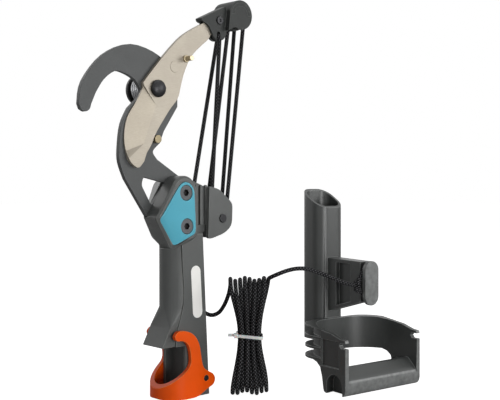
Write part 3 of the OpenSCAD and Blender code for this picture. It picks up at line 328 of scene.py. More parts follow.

# %% [markdown]
# ## The tackle cord
# Inside the head the same cord is a tackle: from a knot on the blade's arm it goes four times round
# the pulleys, then down through the grip. Its straight runs touch each pulley where the run is
# square to the pulley's radius, so those points come from the pulleys' places. When the blade
# closes, the upper end moves with the arm and the lower end doesn't. The straight runs get a point
# every 4 mm.

# %% Runs of the tackle
PIVOT = Vector((-29.0, 0.0, 304.0))
LOWER, UPPER = Vector((45.0, 0.0, 176.0)), PIVOT + Vector((102.0, 0.0, 83.0))
LOWER_FRONT, LOWER_REAR, UPPER_FRONT, UPPER_REAR = -11.0, -3.5, -9.0, 5.0
RUN_R, RUN_STEP = 10.0, 4.0
ANCHOR = PIVOT + Vector((76.0, 0.0, 61.0))
CHEEK_REAR = 0.2
BEND, BEND_STEPS = 2 * CORD_D, 10
GUIDE = Vector((23.0, 0.3, 212.0))
CHANNEL_X = 20.0


def wrapped(middle, y, a0, a1, steps=28):
    """The cord's line round a pulley, from one angle to another."""
    line = []
    for k in range(steps + 1):
        c, s = cos_sin(a0 + (a1 - a0) * k / steps)
        line.append(Vector((middle.x + RUN_R * c, y, middle.z + RUN_R * s)))
    return line


def heading(v):
    """A vector's angle in the plane of the blade, in degrees."""
    return math.degrees(math.atan2(v.z, v.x))


down = (LOWER - UPPER).normalized()
cross_run = math.degrees(math.atan2(down.x, -down.z))
first_run = ANCHOR - UP * BEND - LOWER
last_run = Vector((GUIDE.x, 0, GUIDE.z)) - UPPER
angle_in = heading(first_run) + math.degrees(math.acos(RUN_R / first_run.length))
angle_out = heading(last_run) + 360 - math.degrees(math.acos(RUN_R / last_run.length))
tackle = [Vector((ANCHOR.x, CHEEK_REAR + 0.4, ANCHOR.z))]
for k in range(BEND_STEPS + 1):
    c, s = cos_sin(90 * k / BEND_STEPS)
    tackle.append(Vector((ANCHOR.x, LOWER_FRONT + BEND * (1 - s), ANCHOR.z - BEND + BEND * c)))
tackle += wrapped(LOWER, LOWER_FRONT, angle_in, 360 + cross_run)
tackle += wrapped(UPPER, UPPER_FRONT, cross_run, 180 + cross_run)
tackle += wrapped(LOWER, LOWER_REAR, 180 + cross_run, 360 + cross_run)
tackle += wrapped(UPPER, UPPER_REAR, cross_run, angle_out)
tackle += smooth_line([GUIDE, (CHANNEL_X + 1, 0, 198), (CHANNEL_X, 0, 186), (CHANNEL_X, 0, 107),
                       (CHANNEL_X + 0.8, 0, 102), (CHANNEL_X + 3, 0, 96.6), (28, 0, 87.8), EXIT], 4)
print(f"tackle: {length_of(tackle):.0f} mm of cord")

# %% Tackle cord
tackle_mesh = tube_mesh("tackle_cord_braided", spread_line(tackle, RUN_STEP), BRAID_R, TUBE_SIDES)
tackle_cord = place("tackle_cord_braided", tackle_mesh, braid_cord, ("tackle_cord",))
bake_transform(tackle_cord)
print("tackle cord:", len(tackle_mesh.polygons), "faces")

# %% [markdown]
# ## Knots
# The arm's end of the cord is stopped by an overhand knot, which is a trefoil: a line that goes
# twice round and three times in and out. The cord's other end is tied round the neck of the
# handle's cleat, with the cord wrapped round itself. Both knots are tubes along a rule, so the
# braid runs through them as it does in the real ones.

# %% Stopper knot on the arm
KNOT_R, KNOT_SIZE, KNOT_DEPTH, KNOT_STEPS = 3.9, 0.86, 1.15, 60
KNOT_SIDES, STRAND_R, TIGHT_PITCH = 10, 1.25, 4.5
knot_mid = Vector((ANCHOR.x, CHEEK_REAR + 0.7 + KNOT_R, ANCHOR.z))


def trefoil(t):
    """A point of the trefoil, after a share t of its length."""
    a = 2 * math.pi * t
    across = math.sin(a) + 2 * math.sin(2 * a)
    high = math.cos(a) - 2 * math.cos(2 * a)
    return Vector((across, KNOT_DEPTH * -math.sin(3 * a), high)) * KNOT_SIZE


stopper = [knot_mid + trefoil(k / KNOT_STEPS) for k in range(KNOT_STEPS)]
stopper_mesh = tube_mesh("stopper_knot", stopper + stopper[:1], STRAND_R, KNOT_SIDES, TIGHT_PITCH)
place("stopper_knot", stopper_mesh, braid_cord, ("anchor_knot",), "blade_arm")
print(f"stopper knot: {length_of(stopper):.0f} mm of cord")

# %% Lines of the loop on the cleat
HANDLE, HANDLE_YAW = Vector((175.0, -37.0, 0.0)), -6.0
CLEAT_Z, NECK_Y, NECK_BOW, LOOP_OUT, LOOP_TURN = 108.0, -69.8, 7.5, 8.2, 165
TIE_KNOT = Vector((-14.1, NECK_Y, 106.0))
WRAPS, WRAP_STEPS, WRAP_R, WRAP_LONG = 4, 80, (2.35, 2.0), 11.2
CORE_STEPS, CORE_LONG, CORE_ASIDE = 6, 14.0, 0.2


def of_handle(x, y, z):
    """A point of the handle's own frame, as a point of the set."""
    c, s = cos_sin(HANDLE_YAW)
    return HANDLE + Vector((x * c - y * s, x * s + y * c, z))


def bow(a0, a1, up, steps=8):
    """Half of the loop round the neck, across and up."""
    turns = [cos_sin(a0 + (a1 - a0) * k / steps) for k in range(steps + 1)]
    return [(LOOP_OUT * c, up + LOOP_OUT * s) for c, s in turns]


flat_loop = [(-13.1, 3.0)] + bow(LOOP_TURN, 0, NECK_BOW)
flat_loop += bow(0, -LOOP_TURN, -NECK_BOW) + [(-13.1, -6.0)]
loop_line = smooth_line([of_handle(x, NECK_Y, CLEAT_Z + z) for x, z in flat_loop], 2)
wrap_line, core_line = [], []
for k in range(WRAP_STEPS + 1):
    t = k / WRAP_STEPS
    turn = 2 * math.pi * WRAPS * t
    wrap_line.append(of_handle(TIE_KNOT.x + WRAP_R[0] * math.cos(turn),
                               TIE_KNOT.y + WRAP_R[1] * math.sin(turn),
                               TIE_KNOT.z - WRAP_LONG / 2 + WRAP_LONG * t))
for k in range(CORE_STEPS + 1):
    rise = CORE_LONG * k / CORE_STEPS - CORE_LONG / 2
    core_line.append(of_handle(TIE_KNOT.x - CORE_ASIDE, TIE_KNOT.y, TIE_KNOT.z + rise))
print(f"cleat knot: {length_of(loop_line) + length_of(wrap_line):.0f} mm of cord")

# %% Tied loop on the cleat
WRAP_STRAND_R, CORE_R = 1.65, 1.5


def joined(name, meshes):
    """Several meshes as one."""
    solid = bmesh.new()
    for mesh in meshes:
        solid.from_mesh(mesh)
        bpy.data.meshes.remove(mesh)
    whole = bpy.data.meshes.new(name)
    solid.to_mesh(whole)
    solid.free()
    return whole


tied = [tube_mesh("loop", loop_line, BRAID_R, TUBE_SIDES),
        tube_mesh("wraps", wrap_line, WRAP_STRAND_R, KNOT_SIDES),
        tube_mesh("core", core_line, CORE_R, KNOT_SIDES)]
knot_mesh = joined("cleat_loop_knot", tied)
cleat_loop = place("cleat_loop_knot", knot_mesh, braid_cord, ("cleat_knot",), "head")
print("cleat knot:", len(knot_mesh.polygons), "faces")

# %% [markdown]
# ## Return spring
# A torsion spring sits round the pivot behind the plate: bright wire, a little over four curls, one
# leg on the stop pin and one on the guide pin of the blade. As the blade closes, the spring winds
# up.

# %% Line of the spring
SPRING_R, WIRE_D, CURL_PITCH, FULL_CURLS, CURL_STEPS = 12.2, 2.4, 3.3, 4, 150
LEG, LEG_STEPS, LEG_GAP = 51.0, 10, 0.3
STOP_SHANK_R, PLATE_REAR, CURL_GAP = 2.5, 2.5, 0.7
GUIDE_AT, STOP_AT = Vector((35.0, 0.0, 32.0)), Vector((0.3, 0.0, -49.1))
leg_side = STOP_SHANK_R + WIRE_D / 2 + LEG_GAP
stop_lean = math.degrees(math.acos((SPRING_R - leg_side) / STOP_AT.length))
guide_lean = math.degrees(math.acos((SPRING_R - leg_side) / GUIDE_AT.length))
curl_from = heading(STOP_AT) + stop_lean
curl_to = heading(GUIDE_AT) - guide_lean + 360
curl_angle = curl_to - curl_from + 360 * FULL_CURLS
CURL_FRONT = PLATE_REAR + WIRE_D / 2 + CURL_GAP
CURL_REAR = CURL_FRONT + curl_angle / 360 * CURL_PITCH


def curl(a, f):
    """A point of the curls at an angle, after a share f of their length."""
    c, s = cos_sin(a)
    return PIVOT + Vector((SPRING_R * c, CURL_REAR - (CURL_REAR - CURL_FRONT) * f, SPRING_R * s))


def leg(a, f, way, reach):
    """A point of the leg that leaves the curls at an angle."""
    c, s = cos_sin(a)
    return curl(a, f) + way * reach * Vector((-s, 0, c))


wire = [leg(curl_from, 0, -1, LEG * k / LEG_STEPS) for k in range(LEG_STEPS, 0, -1)]
wire += [curl(curl_from + curl_angle * k / CURL_STEPS, k / CURL_STEPS) for k in range(CURL_STEPS + 1)]
wire += [leg(curl_to, 1, 1, LEG * k / LEG_STEPS) for k in range(1, LEG_STEPS + 1)]
spring_mesh = tube_mesh("return_spring_wire", wire, WIRE_D / 2, TUBE_SIDES)
print(f"spring: {length_of(wire):.0f} mm of wire, {curl_angle / 360:.2f} curls")

# %% [markdown]
# ## Plastics
# Housing, cover, lever and handle are injection mouldings. A steel mould is spark-eroded, so the
# plastic copies a fine matt grain. It has a slow drift of tone where the melt flowed. Its rounded
# edges are painted paler: partly rubbing wear, partly a painted highlight along the edges. The edge
# mark comes from an attribute that is written on each mesh below: 1 on the faces of a rounded edge
# and 0 on all others.

# %% Moulded plastics
FLOW, SCUFF, GRAIN_SHINE = 38, 5, 0.07


def moulded(name, body, edge_light_and_wear, rough, grain_mm, grain_depth, drift=0.10, gloss=0.5):
    """Moulded plastic: body colour, the paler edge tone (rubbing wear and a painted highlight),
    roughness and grain size.
    """
    finish, tree, out = blank_finish(name)
    where = put(tree, "ShaderNodeTexCoord").outputs["Object"]
    flow = put(tree, "ShaderNodeTexNoise", {"Vector": where, "Scale": 1 / (FLOW * MM), "Detail": 3.0})
    tone = put(tree, "ShaderNodeMapRange", {
        "Value": flow, "From Min": 0.3, "From Max": 0.7, "To Min": 1 - drift, "To Max": 1 + drift})
    tinted = put(tree, "ShaderNodeMix", {0: 1.0, 6: srgb(body), 7: tone},
                 data_type="RGBA", blend_type="MULTIPLY")
    # the edge mark paints the rounded edges paler: a painted highlight, broken up by scuff noise like
    # wear
    edge = put(tree, "ShaderNodeAttribute", attribute_name="edge").outputs["Fac"]
    scuff = put(tree, "ShaderNodeTexNoise", {"Vector": where, "Scale": 1 / (SCUFF * MM), "Detail": 4.0})
    lit_and_worn = put(tree, "ShaderNodeMath", {0: edge, 1: scuff}, operation="MULTIPLY")
    colour = put(tree, "ShaderNodeMix", {0: lit_and_worn, 6: tinted.outputs[2], 7: srgb(edge_light_and_wear)},
                 data_type="RGBA")
    grain = put(tree, "ShaderNodeTexNoise",
                {"Vector": where, "Scale": 1 / (grain_mm * MM), "Detail": 2.0})
    shine = put(tree, "ShaderNodeMapRange",
                {"Value": grain, "To Min": rough - GRAIN_SHINE, "To Max": rough + GRAIN_SHINE})
    bump = put(tree, "ShaderNodeBump", {"Height": grain, "Strength": 0.6, "Distance": grain_depth * MM})
    plastic = put(tree, "ShaderNodeBsdfPrincipled", {
        "Base Color": colour.outputs[2], "Roughness": shine, "Specular IOR Level": gloss, "IOR": 1.5,
        "Normal": bump})
    tree.links.new(plastic.outputs[0], out.inputs[0])
    return finish


# glass-filled nylon: dark grey, matt, with a dry fine grain
glass_nylon = moulded("glass_filled_nylon_grey", "#575958", "#7c7e7b", 0.40, 1.1, 0.08, gloss=0.3)
# the same nylon, in a darker tone, on the arm's block
dark_nylon = moulded("glass_filled_nylon_dark", "#333534", "#5c5e5c", 0.46, 1.1, 0.08, gloss=0.2)
# the handle's polypropylene: a shade darker and smoother, so its bends carry soft long lights
handle_pp = moulded("moulded_polypropylene_grey", "#3d3f3e", "#828483", 0.38, 1.3, 0.04)
# dyed acetal of the pulleys and the spring's spool: almost black, a little waxy
black_acetal = moulded("dyed_black_acetal", "#272728", "#444445", 0.40, 1.0, 0.05)
# the cover's ABS: flat turquoise with a satin face
turquoise_abs = moulded("satin_turquoise_abs", "#48a3b8", "#7cc3d2", 0.44, 1.0, 0.06,
                        drift=0.06, gloss=0.35)
# the lever's nylon: warm orange, slightly glossy
orange_nylon = moulded("moulded_orange_nylon", "#ea5404", "#f58f42", 0.36, 1.2, 0.06,
                       drift=0.08, gloss=0.18)
# the bare name plate: off-white film with a soft shine
plate_film = moulded("satin_white_film", "#f7f6f2", "#fcfbf9", 0.34, 1.6, 0.03, drift=0.03)
print("plastics: 7 finishes")

# %% [markdown]
# ## Metals
# The hook is a laser-cut plate under a grey coating, and the blade is ground steel with a warm coat.
# The fasteners are blackened or zinc-plated, the two pins are passivated to a pale brass colour,
# and the spring is bright. Ground steel shows fine lines that all run one way. They are noise,
# stretched along the grind. A ground facet also throws its light elsewhere than the flat beside
# it, so its tilt, written on the blade's faces below, sets a painted light and shade in its tone:
# the grind a little lighter, the end facet darker. The rounded edges get a painted highlight, and a
# last mark paints shade into the faces of the screws' hexagon sockets.

# %% Metals
CLOUD, LINES_SHINE, EDGE_LIGHT = 24, 0.08, 0.5
FLAT_TONE, GRIND_PAINTED_LIGHT, END_PAINTED_SHADE = (1, 1, 1, 1), (1.08, 1.07, 1.05, 1), (0.70, 0.69, 0.67, 1)
GRIND_TILT = 0.45   # the tilt mark at which the grind gets its full painted light
# the colour of the painted shade in the screws' hexagon sockets
SOCKET_SHADE = "#060607"


def metal(name, base, dark, rough, metallic, lines_mm, stretch, turn_deg, depth):
    """Metal: two tones, roughness, and grinding lines: width, stretch, direction and depth."""
    finish, tree, out = blank_finish(name)
    where = put(tree, "ShaderNodeTexCoord").outputs["Object"]
    turned = put(tree, "ShaderNodeMapping", {
        "Vector": where, "Scale": (1 / stretch, 1, 1), "Rotation": (0, math.radians(turn_deg), 0)})
    lines = put(tree, "ShaderNodeTexNoise",
                {"Vector": turned, "Scale": 1 / (lines_mm * MM), "Detail": 4.0})
    cloud = put(tree, "ShaderNodeTexNoise", {"Vector": where, "Scale": 1 / (CLOUD * MM), "Detail": 3.0})
    both = put(tree, "ShaderNodeMath", {0: lines, 1: cloud}, operation="MULTIPLY")
    mixed = put(tree, "ShaderNodeMapRange", {"Value": both, "From Min": 0.12, "From Max": 0.40})
    # the rounded edges get a painted highlight: the edge mark pushes the coat to its lighter tone
    edge = put(tree, "ShaderNodeAttribute", attribute_name="edge").outputs["Fac"]
    lit = put(tree, "ShaderNodeMath", {0: edge, 1: EDGE_LIGHT, 2: mixed},
              operation="MULTIPLY_ADD", use_clamp=True)
    coat = put(tree, "ShaderNodeMix", {0: lit, 6: srgb(dark), 7: srgb(base)}, data_type="RGBA")
    # the tilt mark paints light and shade: the grind a little lighter, the end facet darker
    tilt = put(tree, "ShaderNodeAttribute", attribute_name="grind").outputs["Fac"]
    facet_light_and_shade = put(tree, "ShaderNodeValToRGB", {0: tilt})
    tones = facet_light_and_shade.color_ramp.elements
    tones[0].color = FLAT_TONE
    tones.new(GRIND_TILT).color = GRIND_PAINTED_LIGHT
    tones[2].color = END_PAINTED_SHADE
    ground = put(tree, "ShaderNodeMix", {0: 1.0, 6: coat.outputs[2], 7: facet_light_and_shade},
                 data_type="RGBA", blend_type="MULTIPLY")
    # the socket mark paints shade into the screws' hexagon sockets
    socket_shade_mark = put(tree, "ShaderNodeAttribute", attribute_name="painted_socket_shade").outputs["Fac"]
    colour = put(tree, "ShaderNodeMix", {0: socket_shade_mark, 6: ground.outputs[2], 7: srgb(SOCKET_SHADE)},
                 data_type="RGBA")
    shine = put(tree, "ShaderNodeMapRange",
                {"Value": lines, "To Min": rough - LINES_SHINE, "To Max": rough + LINES_SHINE})
    bump = put(tree, "ShaderNodeBump", {"Height": lines, "Strength": 0.5, "Distance": depth * MM})
    steel = put(tree, "ShaderNodeBsdfPrincipled", {
        "Base Color": colour.outputs[2], "Roughness": shine, "Metallic": metallic, "Normal": bump})
    tree.links.new(steel.outputs[0], out.inputs[0])
    return finish


# grey fluoropolymer coat on plate: even, fine-grained, half dull; it hides the metal below
coated_plate = metal("coated_steel_plate", "#434545", "#3b3d3d", 0.50, 0.1, 0.9, 1.5, 0, 0.04)
# ground blade under a thin warm coat: fine lines across the edge
ground_blade = metal("ground_coated_blade_steel", "#a9a193", "#9c9487", 0.44, 0.35, 0.5, 8, 62, 0.015)
# blackened fasteners: near black with a dull oily shine
blackened = metal("blackened_steel", "#3a3a3c", "#222224", 0.38, 0.7, 0.7, 1, 0, 0.04)
# zinc-plated clamp screws: mid grey and satin, so that the dark hexagon sockets stand out
zinc_screw = metal("zinc_plated_steel", "#585a5c", "#434547", 0.42, 0.6, 0.8, 1, 0, 0.03)
# passivated pins: pale brass, turned
passivated = metal("passivated_brass_pin", "#cdbf9f", "#a3957a", 0.36, 0.7, 0.6, 6, 90, 0.02)
# the stop pin: the same brass in a darker, duller tone
dulled_pin = metal("dulled_brass_pin", "#a39577", "#736950", 0.44, 0.6, 0.6, 6, 90, 0.02)
# drawn spring wire: bright, with fine draw lines
drawn_wire = metal("drawn_spring_wire", "#d3d4d6", "#9fa1a4", 0.28, 0.95, 0.5, 3, 0, 0.02)
print("metals: 7 finishes")

# %% [markdown]
# ## Dressing the CAD parts
# A solid model has knife-sharp edges, and real parts never have: a broken edge catches a line of
# light, which is most of what makes a part look real. Each CAD part is copied, its loose triangles
# are merged and its flat faces are made whole again, and a Bevel modifier then breaks the sharp
# edges. Weighted normals keep the flats flat. The CAD objects themselves are left as they are.

# %% Broken edges
SHARP = 32   # degrees: an edge that turns more than this is broken
WEDGE_TURN = 150   # degrees: one that turns more than this is a thin wedge's tip
ROUND_TURN = 10   # degrees: the faces of a rounding turn more than this
NARROW = 0.9   # and they are narrower than this share of its width


def baked(work):
    """The object's evaluated mesh as a plain mesh; the working object goes."""
    view = bpy.context.evaluated_depsgraph_get()
    mesh = bpy.data.meshes.new_from_object(work.evaluated_get(view))
    bpy.data.objects.remove(work)
    return mesh


def mark_edges(mesh, edge_mm):
    """Marks the faces of the roundings, narrow and turned on both long sides, with 1 as edge."""
    solid = bmesh.new()
    solid.from_mesh(mesh)
    marks = []
    for face in solid.faces:
        narrow = 2 * face.calc_area() < NARROW * edge_mm * MM * face.calc_perimeter()
        long_sides = sorted(face.edges, key=lambda line: line.calc_length())[-2:]
        turned = min(math.degrees(line.calc_face_angle(0.0)) for line in long_sides) > ROUND_TURN
        marks.append(float(narrow and turned))
    solid.free()
    mesh.attributes.new("edge", "FLOAT", "FACE").data.foreach_set("value", marks)


def broken_edges(name, mesh, edge_mm, limit=SHARP):
    """The mesh with its sharp edges broken by a small rounding; a thin wedge's tip is left as it is."""
    solid = bmesh.new()
    solid.from_mesh(mesh)
    weight = solid.edges.layers.float.new("bevel_weight_edge")
    for line in solid.edges:
        line[weight] = float(limit < math.degrees(line.calc_face_angle(0.0)) < WEDGE_TURN)
    solid.to_mesh(mesh)
    solid.free()
    mesh.polygons.foreach_set("use_smooth", [True] * len(mesh.polygons))
    work = bpy.data.objects.new(name, mesh)
    bpy.context.collection.objects.link(work)
    bevel = work.modifiers.new("broken edges", "BEVEL")
    bevel.width, bevel.segments = edge_mm * MM, 2
    bevel.limit_method = "WEIGHT"
    bevel.use_clamp_overlap, bevel.loop_slide = False, False
    bevel.face_strength_mode = "FSTR_ALL"
    even = work.modifiers.new("flat flats", "WEIGHTED_NORMAL")
    even.mode, even.use_face_influence, even.keep_sharp = "FACE_AREA_WITH_ANGLE", True, True
    result = baked(work)
    mark_edges(result, edge_mm)
    return result


print("broken edges: helpers ready")

# %% Dressing helper
MERGE, FLAT_TURN, MOST_CORNERS = 0.02, 1, 12
# inside the ring the solid's foot blocks peep out of the bar's slope: there the copy is pressed flat
BAR_SLOPE = [(-93.0, 16.0), (-90.0, 19.0), (-82.0, 26.6)]
BLOCK_INSIDE, BLOCK_WALL, BLOCK_TOP, SLIVER = 36.0, 49.0, 24.05, 0.06
from_handle = Quaternion((0, 0, 1), math.radians(-HANDLE_YAW))


def press_blocks(solid):
    """Lowers what stands on the bar's slope beside the ring's walls to the slope itself."""
    for corner in solid.verts:
        at = from_handle @ (corner.co / MM - HANDLE)
        for (y0, z0), (y1, z1) in zip(BAR_SLOPE, BAR_SLOPE[1:]):
            slope = z0 + (z1 - z0) * (at.y - y0) / (y1 - y0)
            beside = BLOCK_INSIDE < abs(at.x) < BLOCK_WALL and y0 < at.y <= y1
            if beside and slope < at.z < BLOCK_TOP:
                corner.co.z = slope * MM
    bmesh.ops.remove_doubles(solid, verts=solid.verts, dist=MERGE * MM)
    bmesh.ops.dissolve_degenerate(solid, dist=SLIVER * MM, edges=solid.edges)


def dress(node, finish, edge_mm, limit):
    """A CAD node's copy with broken edges and a finish, in the node's place."""
    solid = bmesh.new()
    solid.from_mesh(frame["nodes"][node].data)
    if node == "pull_handle":
        press_blocks(solid)
    bmesh.ops.remove_doubles(solid, verts=solid.verts, dist=MERGE * MM)
    bmesh.ops.dissolve_limit(solid, angle_limit=math.radians(FLAT_TURN), verts=solid.verts,
                             edges=solid.edges)
    large = [face for face in solid.faces if len(face.verts) > MOST_CORNERS]
    bmesh.ops.triangulate(solid, faces=large, ngon_method="BEAUTY")
    mesh = bpy.data.meshes.new(node + "_dressed")
    solid.to_mesh(mesh)
    solid.free()
    return place(node + "_dressed", broken_edges(node, mesh, edge_mm, limit), finish,
                 (node,), BODY_OF[node])


print("dressing: helper ready")

# %% Dressed parts
SHARP_FROM = {"lock_lever": 16}   # the lever's rim is flatter in front than at its sides
# finish, material slot, width of the broken edge, and the nodes that have them
PARTS = [
    (glass_nylon, "housing_nylon", 0.45, ["housing"]),
    (dark_nylon, "housing_nylon", 0.45, ["arm_block"]),
    (turquoise_abs, "cover_plastic", 0.5, ["cover_plate"]),
    (orange_nylon, "lever_plastic", 0.35, ["lock_lever"]),
    (handle_pp, "handle_plastic", 0.45, ["pull_handle"]),
    (coated_plate, "coated_steel", 0.35, ["hook_plate"]),
    (ground_blade, "blade_steel", 0.15, ["blade"]),
    (black_acetal, "black_plastic", 0.4, ["spring_spool"]),
    (black_acetal, "black_plastic", 0.3, ["upper_pulley_front", "upper_pulley_rear",
                                          "lower_pulley_front", "lower_pulley_rear"]),
    (dulled_pin, "brass", 0.3, ["stop_pin"]),
    (passivated, "brass", 0.3, ["guide_pin"]),
    (blackened, "dark_steel", 0.2, ["pivot_bolt"]),
    (blackened, "dark_steel", 0.3, ["pivot_nut", "clamp_nut_top", "clamp_nut_low"]),
    (blackened, "dark_steel", 0.2, ["block_screw", "block_nut"]),
    (blackened, "dark_steel", 0.3, ["upper_pulley_pin", "lower_pulley_pin", "lever_pin"]),
    (zinc_screw, "dark_steel", 0.4, ["clamp_screw_top", "clamp_screw_low"]),
]
dressed = {}
for finish, slot, edge_mm, nodes in PARTS:
    for node in nodes:
        dressed[node] = dress(node, finish, edge_mm, SHARP_FROM.get(node, SHARP))
total = sum(len(piece.data.polygons) for piece in dressed.values())
print("dressed:", total, "faces in", len(dressed), "pieces")

# %% [markdown]
# ## Marks on the faces
# A finish is one graph for a whole part, but some faces get painted light and shade: the blade's
# grind and end facet, the handle's cleat plate and front faces, and the sockets of the screws.
# Those faces get a number, which the finish reads.

# %% Ground facets of the blade
# how far each front face leans from the flat: about 0.4 on the grind, 1 on the end facet; the
# finish turns the lean into painted light and shade
LEAN_FROM, LEAN_BELOW, LEAN_FULL = 3, 30, 17
FRONT = Vector((0, -1, 0))
blade_mesh = dressed["blade"].data
lean = blade_mesh.attributes.new("grind", "FLOAT", "FACE")
for face in blade_mesh.polygons:
    angle = math.degrees(face.normal.angle(FRONT))
    ground = LEAN_FROM < angle < LEAN_BELOW
    lean.data[face.index].value = min(1.0, angle / LEAN_FULL) if ground else 0.0
print("blade:", sum(mark.value > 0 for mark in lean.data), "ground faces")

# %% Painted light on the handle's cleat plate and front faces
# the outer plate of the handle's cleat, and what faces the front on the bar and its two posts, get
# the edge mark all over: a painted highlight where the front light falls on them
CLEAT_PLATE_Y, RING_TOP, FRONT_FROM, FACES_FRONT = -74.0, 66.0, -88.0, -0.75
handle_mesh = dressed["pull_handle"].data
edge_and_front_light = handle_mesh.attributes["edge"]
for face in handle_mesh.polygons:
    at = from_handle @ (face.center / MM - HANDLE)
    on_cleat = at.y < CLEAT_PLATE_Y and at.z > RING_TOP
    in_front = at.y < FRONT_FROM and (from_handle @ face.normal).y < FACES_FRONT
    if on_cleat or in_front:
        edge_and_front_light.data[face.index].value = 1.0
print("handle:", sum(mark.value > 0 for mark in edge_and_front_light.data), "rubbed faces")

# %% Painted shade in the screws' sockets
# the hexagon sockets get painted shade: every face inside one is marked
SOCKET_REACH, SOCKET_FROM = 4.2, 0.6
for screw in ("clamp_screw_top", "clamp_screw_low"):
    low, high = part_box(screw)
    axis = (low + high) / 2
    screw_mesh = dressed[screw].data
    painted_socket_shade = screw_mesh.attributes.new("painted_socket_shade", "FLOAT", "FACE")
    for face in screw_mesh.polygons:
        off = math.hypot(face.center.x - axis.x, face.center.z - axis.z)
        inside = off < SOCKET_REACH * MM and face.center.y > low.y + SOCKET_FROM * MM
        painted_socket_shade.data[face.index].value = float(inside)
    print(screw, "has", sum(mark.value > 0 for mark in painted_socket_shade.data), "shade_painted faces")

# %% Spring wire
spring = place("return_spring_wire", spring_mesh, drawn_wire, ("return_spring",))
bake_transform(spring)
print("spring:", len(spring.data.polygons), "faces")

# %% [markdown]
# ## Cable tie
# A milky nylon tie holds the hank at its waist. Nylon lets some light in, which takes the hardness
# from its shadows, so the finish has a little subsurface scatter. The band is a rounded strip swept
# round the strands, with a head that the tail has been pulled through.

# %% Milky nylon
HAZE, HAZE_DEPTH, SCATTER = 6, 0.05, 0.8

# natural nylon: off-white with a faint haze, soft where light comes through
milky_nylon, tree, out = blank_finish("milky_nylon_66")
where = put(tree, "ShaderNodeTexCoord").outputs["Object"]
haze = put(tree, "ShaderNodeTexNoise", {"Vector": where, "Scale": 1 / (HAZE * MM), "Detail": 2.0})
tone = put(tree, "ShaderNodeMix", {0: haze, 6: srgb("#c6c7c5"), 7: srgb("#dededc")}, data_type="RGBA")
bump = put(tree, "ShaderNodeBump", {"Height": haze, "Strength": 0.3, "Distance": HAZE_DEPTH * MM})
nylon = put(tree, "ShaderNodeBsdfPrincipled", {
    "Base Color": tone.outputs[2], "Roughness": 0.38, "IOR": 1.53, "Subsurface Weight": 0.25,
    "Subsurface Scale": SCATTER * MM, "Normal": bump})
tree.links.new(nylon.outputs[0], out.inputs[0])
print("tie finish:", len(tree.nodes), "nodes")

# %% Band of the tie
TIE_W, TIE_T, TIE_ROUND, TIE_EASE, TIE_TILT, CORNER_STEPS = 3.2, 1.2, 3.0, 0.7, 0.10, 8
TIE_HALF = ((HANK_TURNS / 2 - 0.25) * HANK_DRAW + CORD_D / 2 + TIE_EASE,
            HANK_WAIST + HANK_ROW + CORD_D / 2 + TIE_EASE)
STRIP = [(0, -0.5), (0.2, -0.62), (0.8, -0.62), (1, -0.5), (1, 0.5), (0.8, 0.62), (0.2, 0.62), (0, 0.5)]
STRIP_FIT = 0.8   # brings the strip, with its rounded sides, to the tie's width
section = [(x * TIE_T, y * TIE_W * STRIP_FIT) for x, y in STRIP]
ring = []
for quarter, (sx, sy) in enumerate(((1, 1), (-1, 1), (-1, -1), (1, -1))):
    corner = (sx * (TIE_HALF[0] - TIE_ROUND), sy * (TIE_HALF[1] - TIE_ROUND))
    for k in range(CORNER_STEPS + 1):
        ring.append(corner + cos_sin(90 * quarter + 90 * k / CORNER_STEPS))
tie_points, tie_faces = [], []
for cx, cy, nx, ny in ring:
    for out_by, up in section:
        u, v = cx + nx * (TIE_ROUND + out_by), cy + ny * (TIE_ROUND + out_by)
        rise = HANK_Z + up - TIE_TILT * u
        tie_points.append((HANK + ALONG_ROW * u + AWAY * v + UP * rise) * MM)
count, sides = len(ring), len(section)
for i in range(count):
    for k in range(sides):
        i2, k2 = (i + 1) % count, (k + 1) % sides
        tie_faces.append((i * sides + k, i2 * sides + k, i2 * sides + k2, i * sides + k2))
band = bpy.data.meshes.new("tie_band")
band.from_pydata(tie_points, [], tie_faces)
print("tie band:", len(tie_faces), "faces")

# %% Cable tie
TIE_HEAD, TIE_TAIL, TIE_EDGE = (4.2, 4.6, 5.0), (6.4, 1.2, 3.0), 0.35
HEAD_OUT, TAIL_OUT, TAIL_UP = 1.2, 4.6, 0.5


def block_mesh(name, middle, size, axes):
    """A box, in millimetres, along three axes."""
    halves = (-0.5, 0.5)
    points = [(middle + axes[0] * x * size[0] + axes[1] * y * size[1] + axes[2] * z * size[2]) * MM
              for x in halves for y in halves for z in halves]
    faces = [(0, 1, 3, 2), (4, 6, 7, 5), (0, 4, 5, 1), (2, 3, 7, 6), (0, 2, 6, 4), (1, 5, 7, 3)]
    mesh = bpy.data.meshes.new(name)
    mesh.from_pydata(points, [], faces)
    return mesh


hank_axes = (ALONG_ROW, AWAY, UP)
head_at = -TIE_HALF[0] - HEAD_OUT
head_mid = (HANK + ALONG_ROW * head_at + AWAY * (-TIE_HALF[1] + HEAD_OUT)
            + UP * (HANK_Z - TIE_TILT * head_at))
tail_mid = head_mid - ALONG_ROW * TAIL_OUT + UP * TAIL_UP
tie_head = block_mesh("tie_head", head_mid, TIE_HEAD, hank_axes)
tie_tail = block_mesh("tie_tail", tail_mid, TIE_TAIL, hank_axes)
tie_mesh = joined("cable_tie_band", [band, tie_head, tie_tail])
tie = place("cable_tie_band", broken_edges("tie", tie_mesh, TIE_EDGE), milky_nylon,
            ("cable_tie",), "head")
print("tie:", len(tie.data.polygons), "faces")

# %% [markdown]
# ## Rim of the handle
# On each side the top gap between the rear fins runs out through the sloping rim in a notch. Two
# small bridges, tilted with the rim, close the notches.

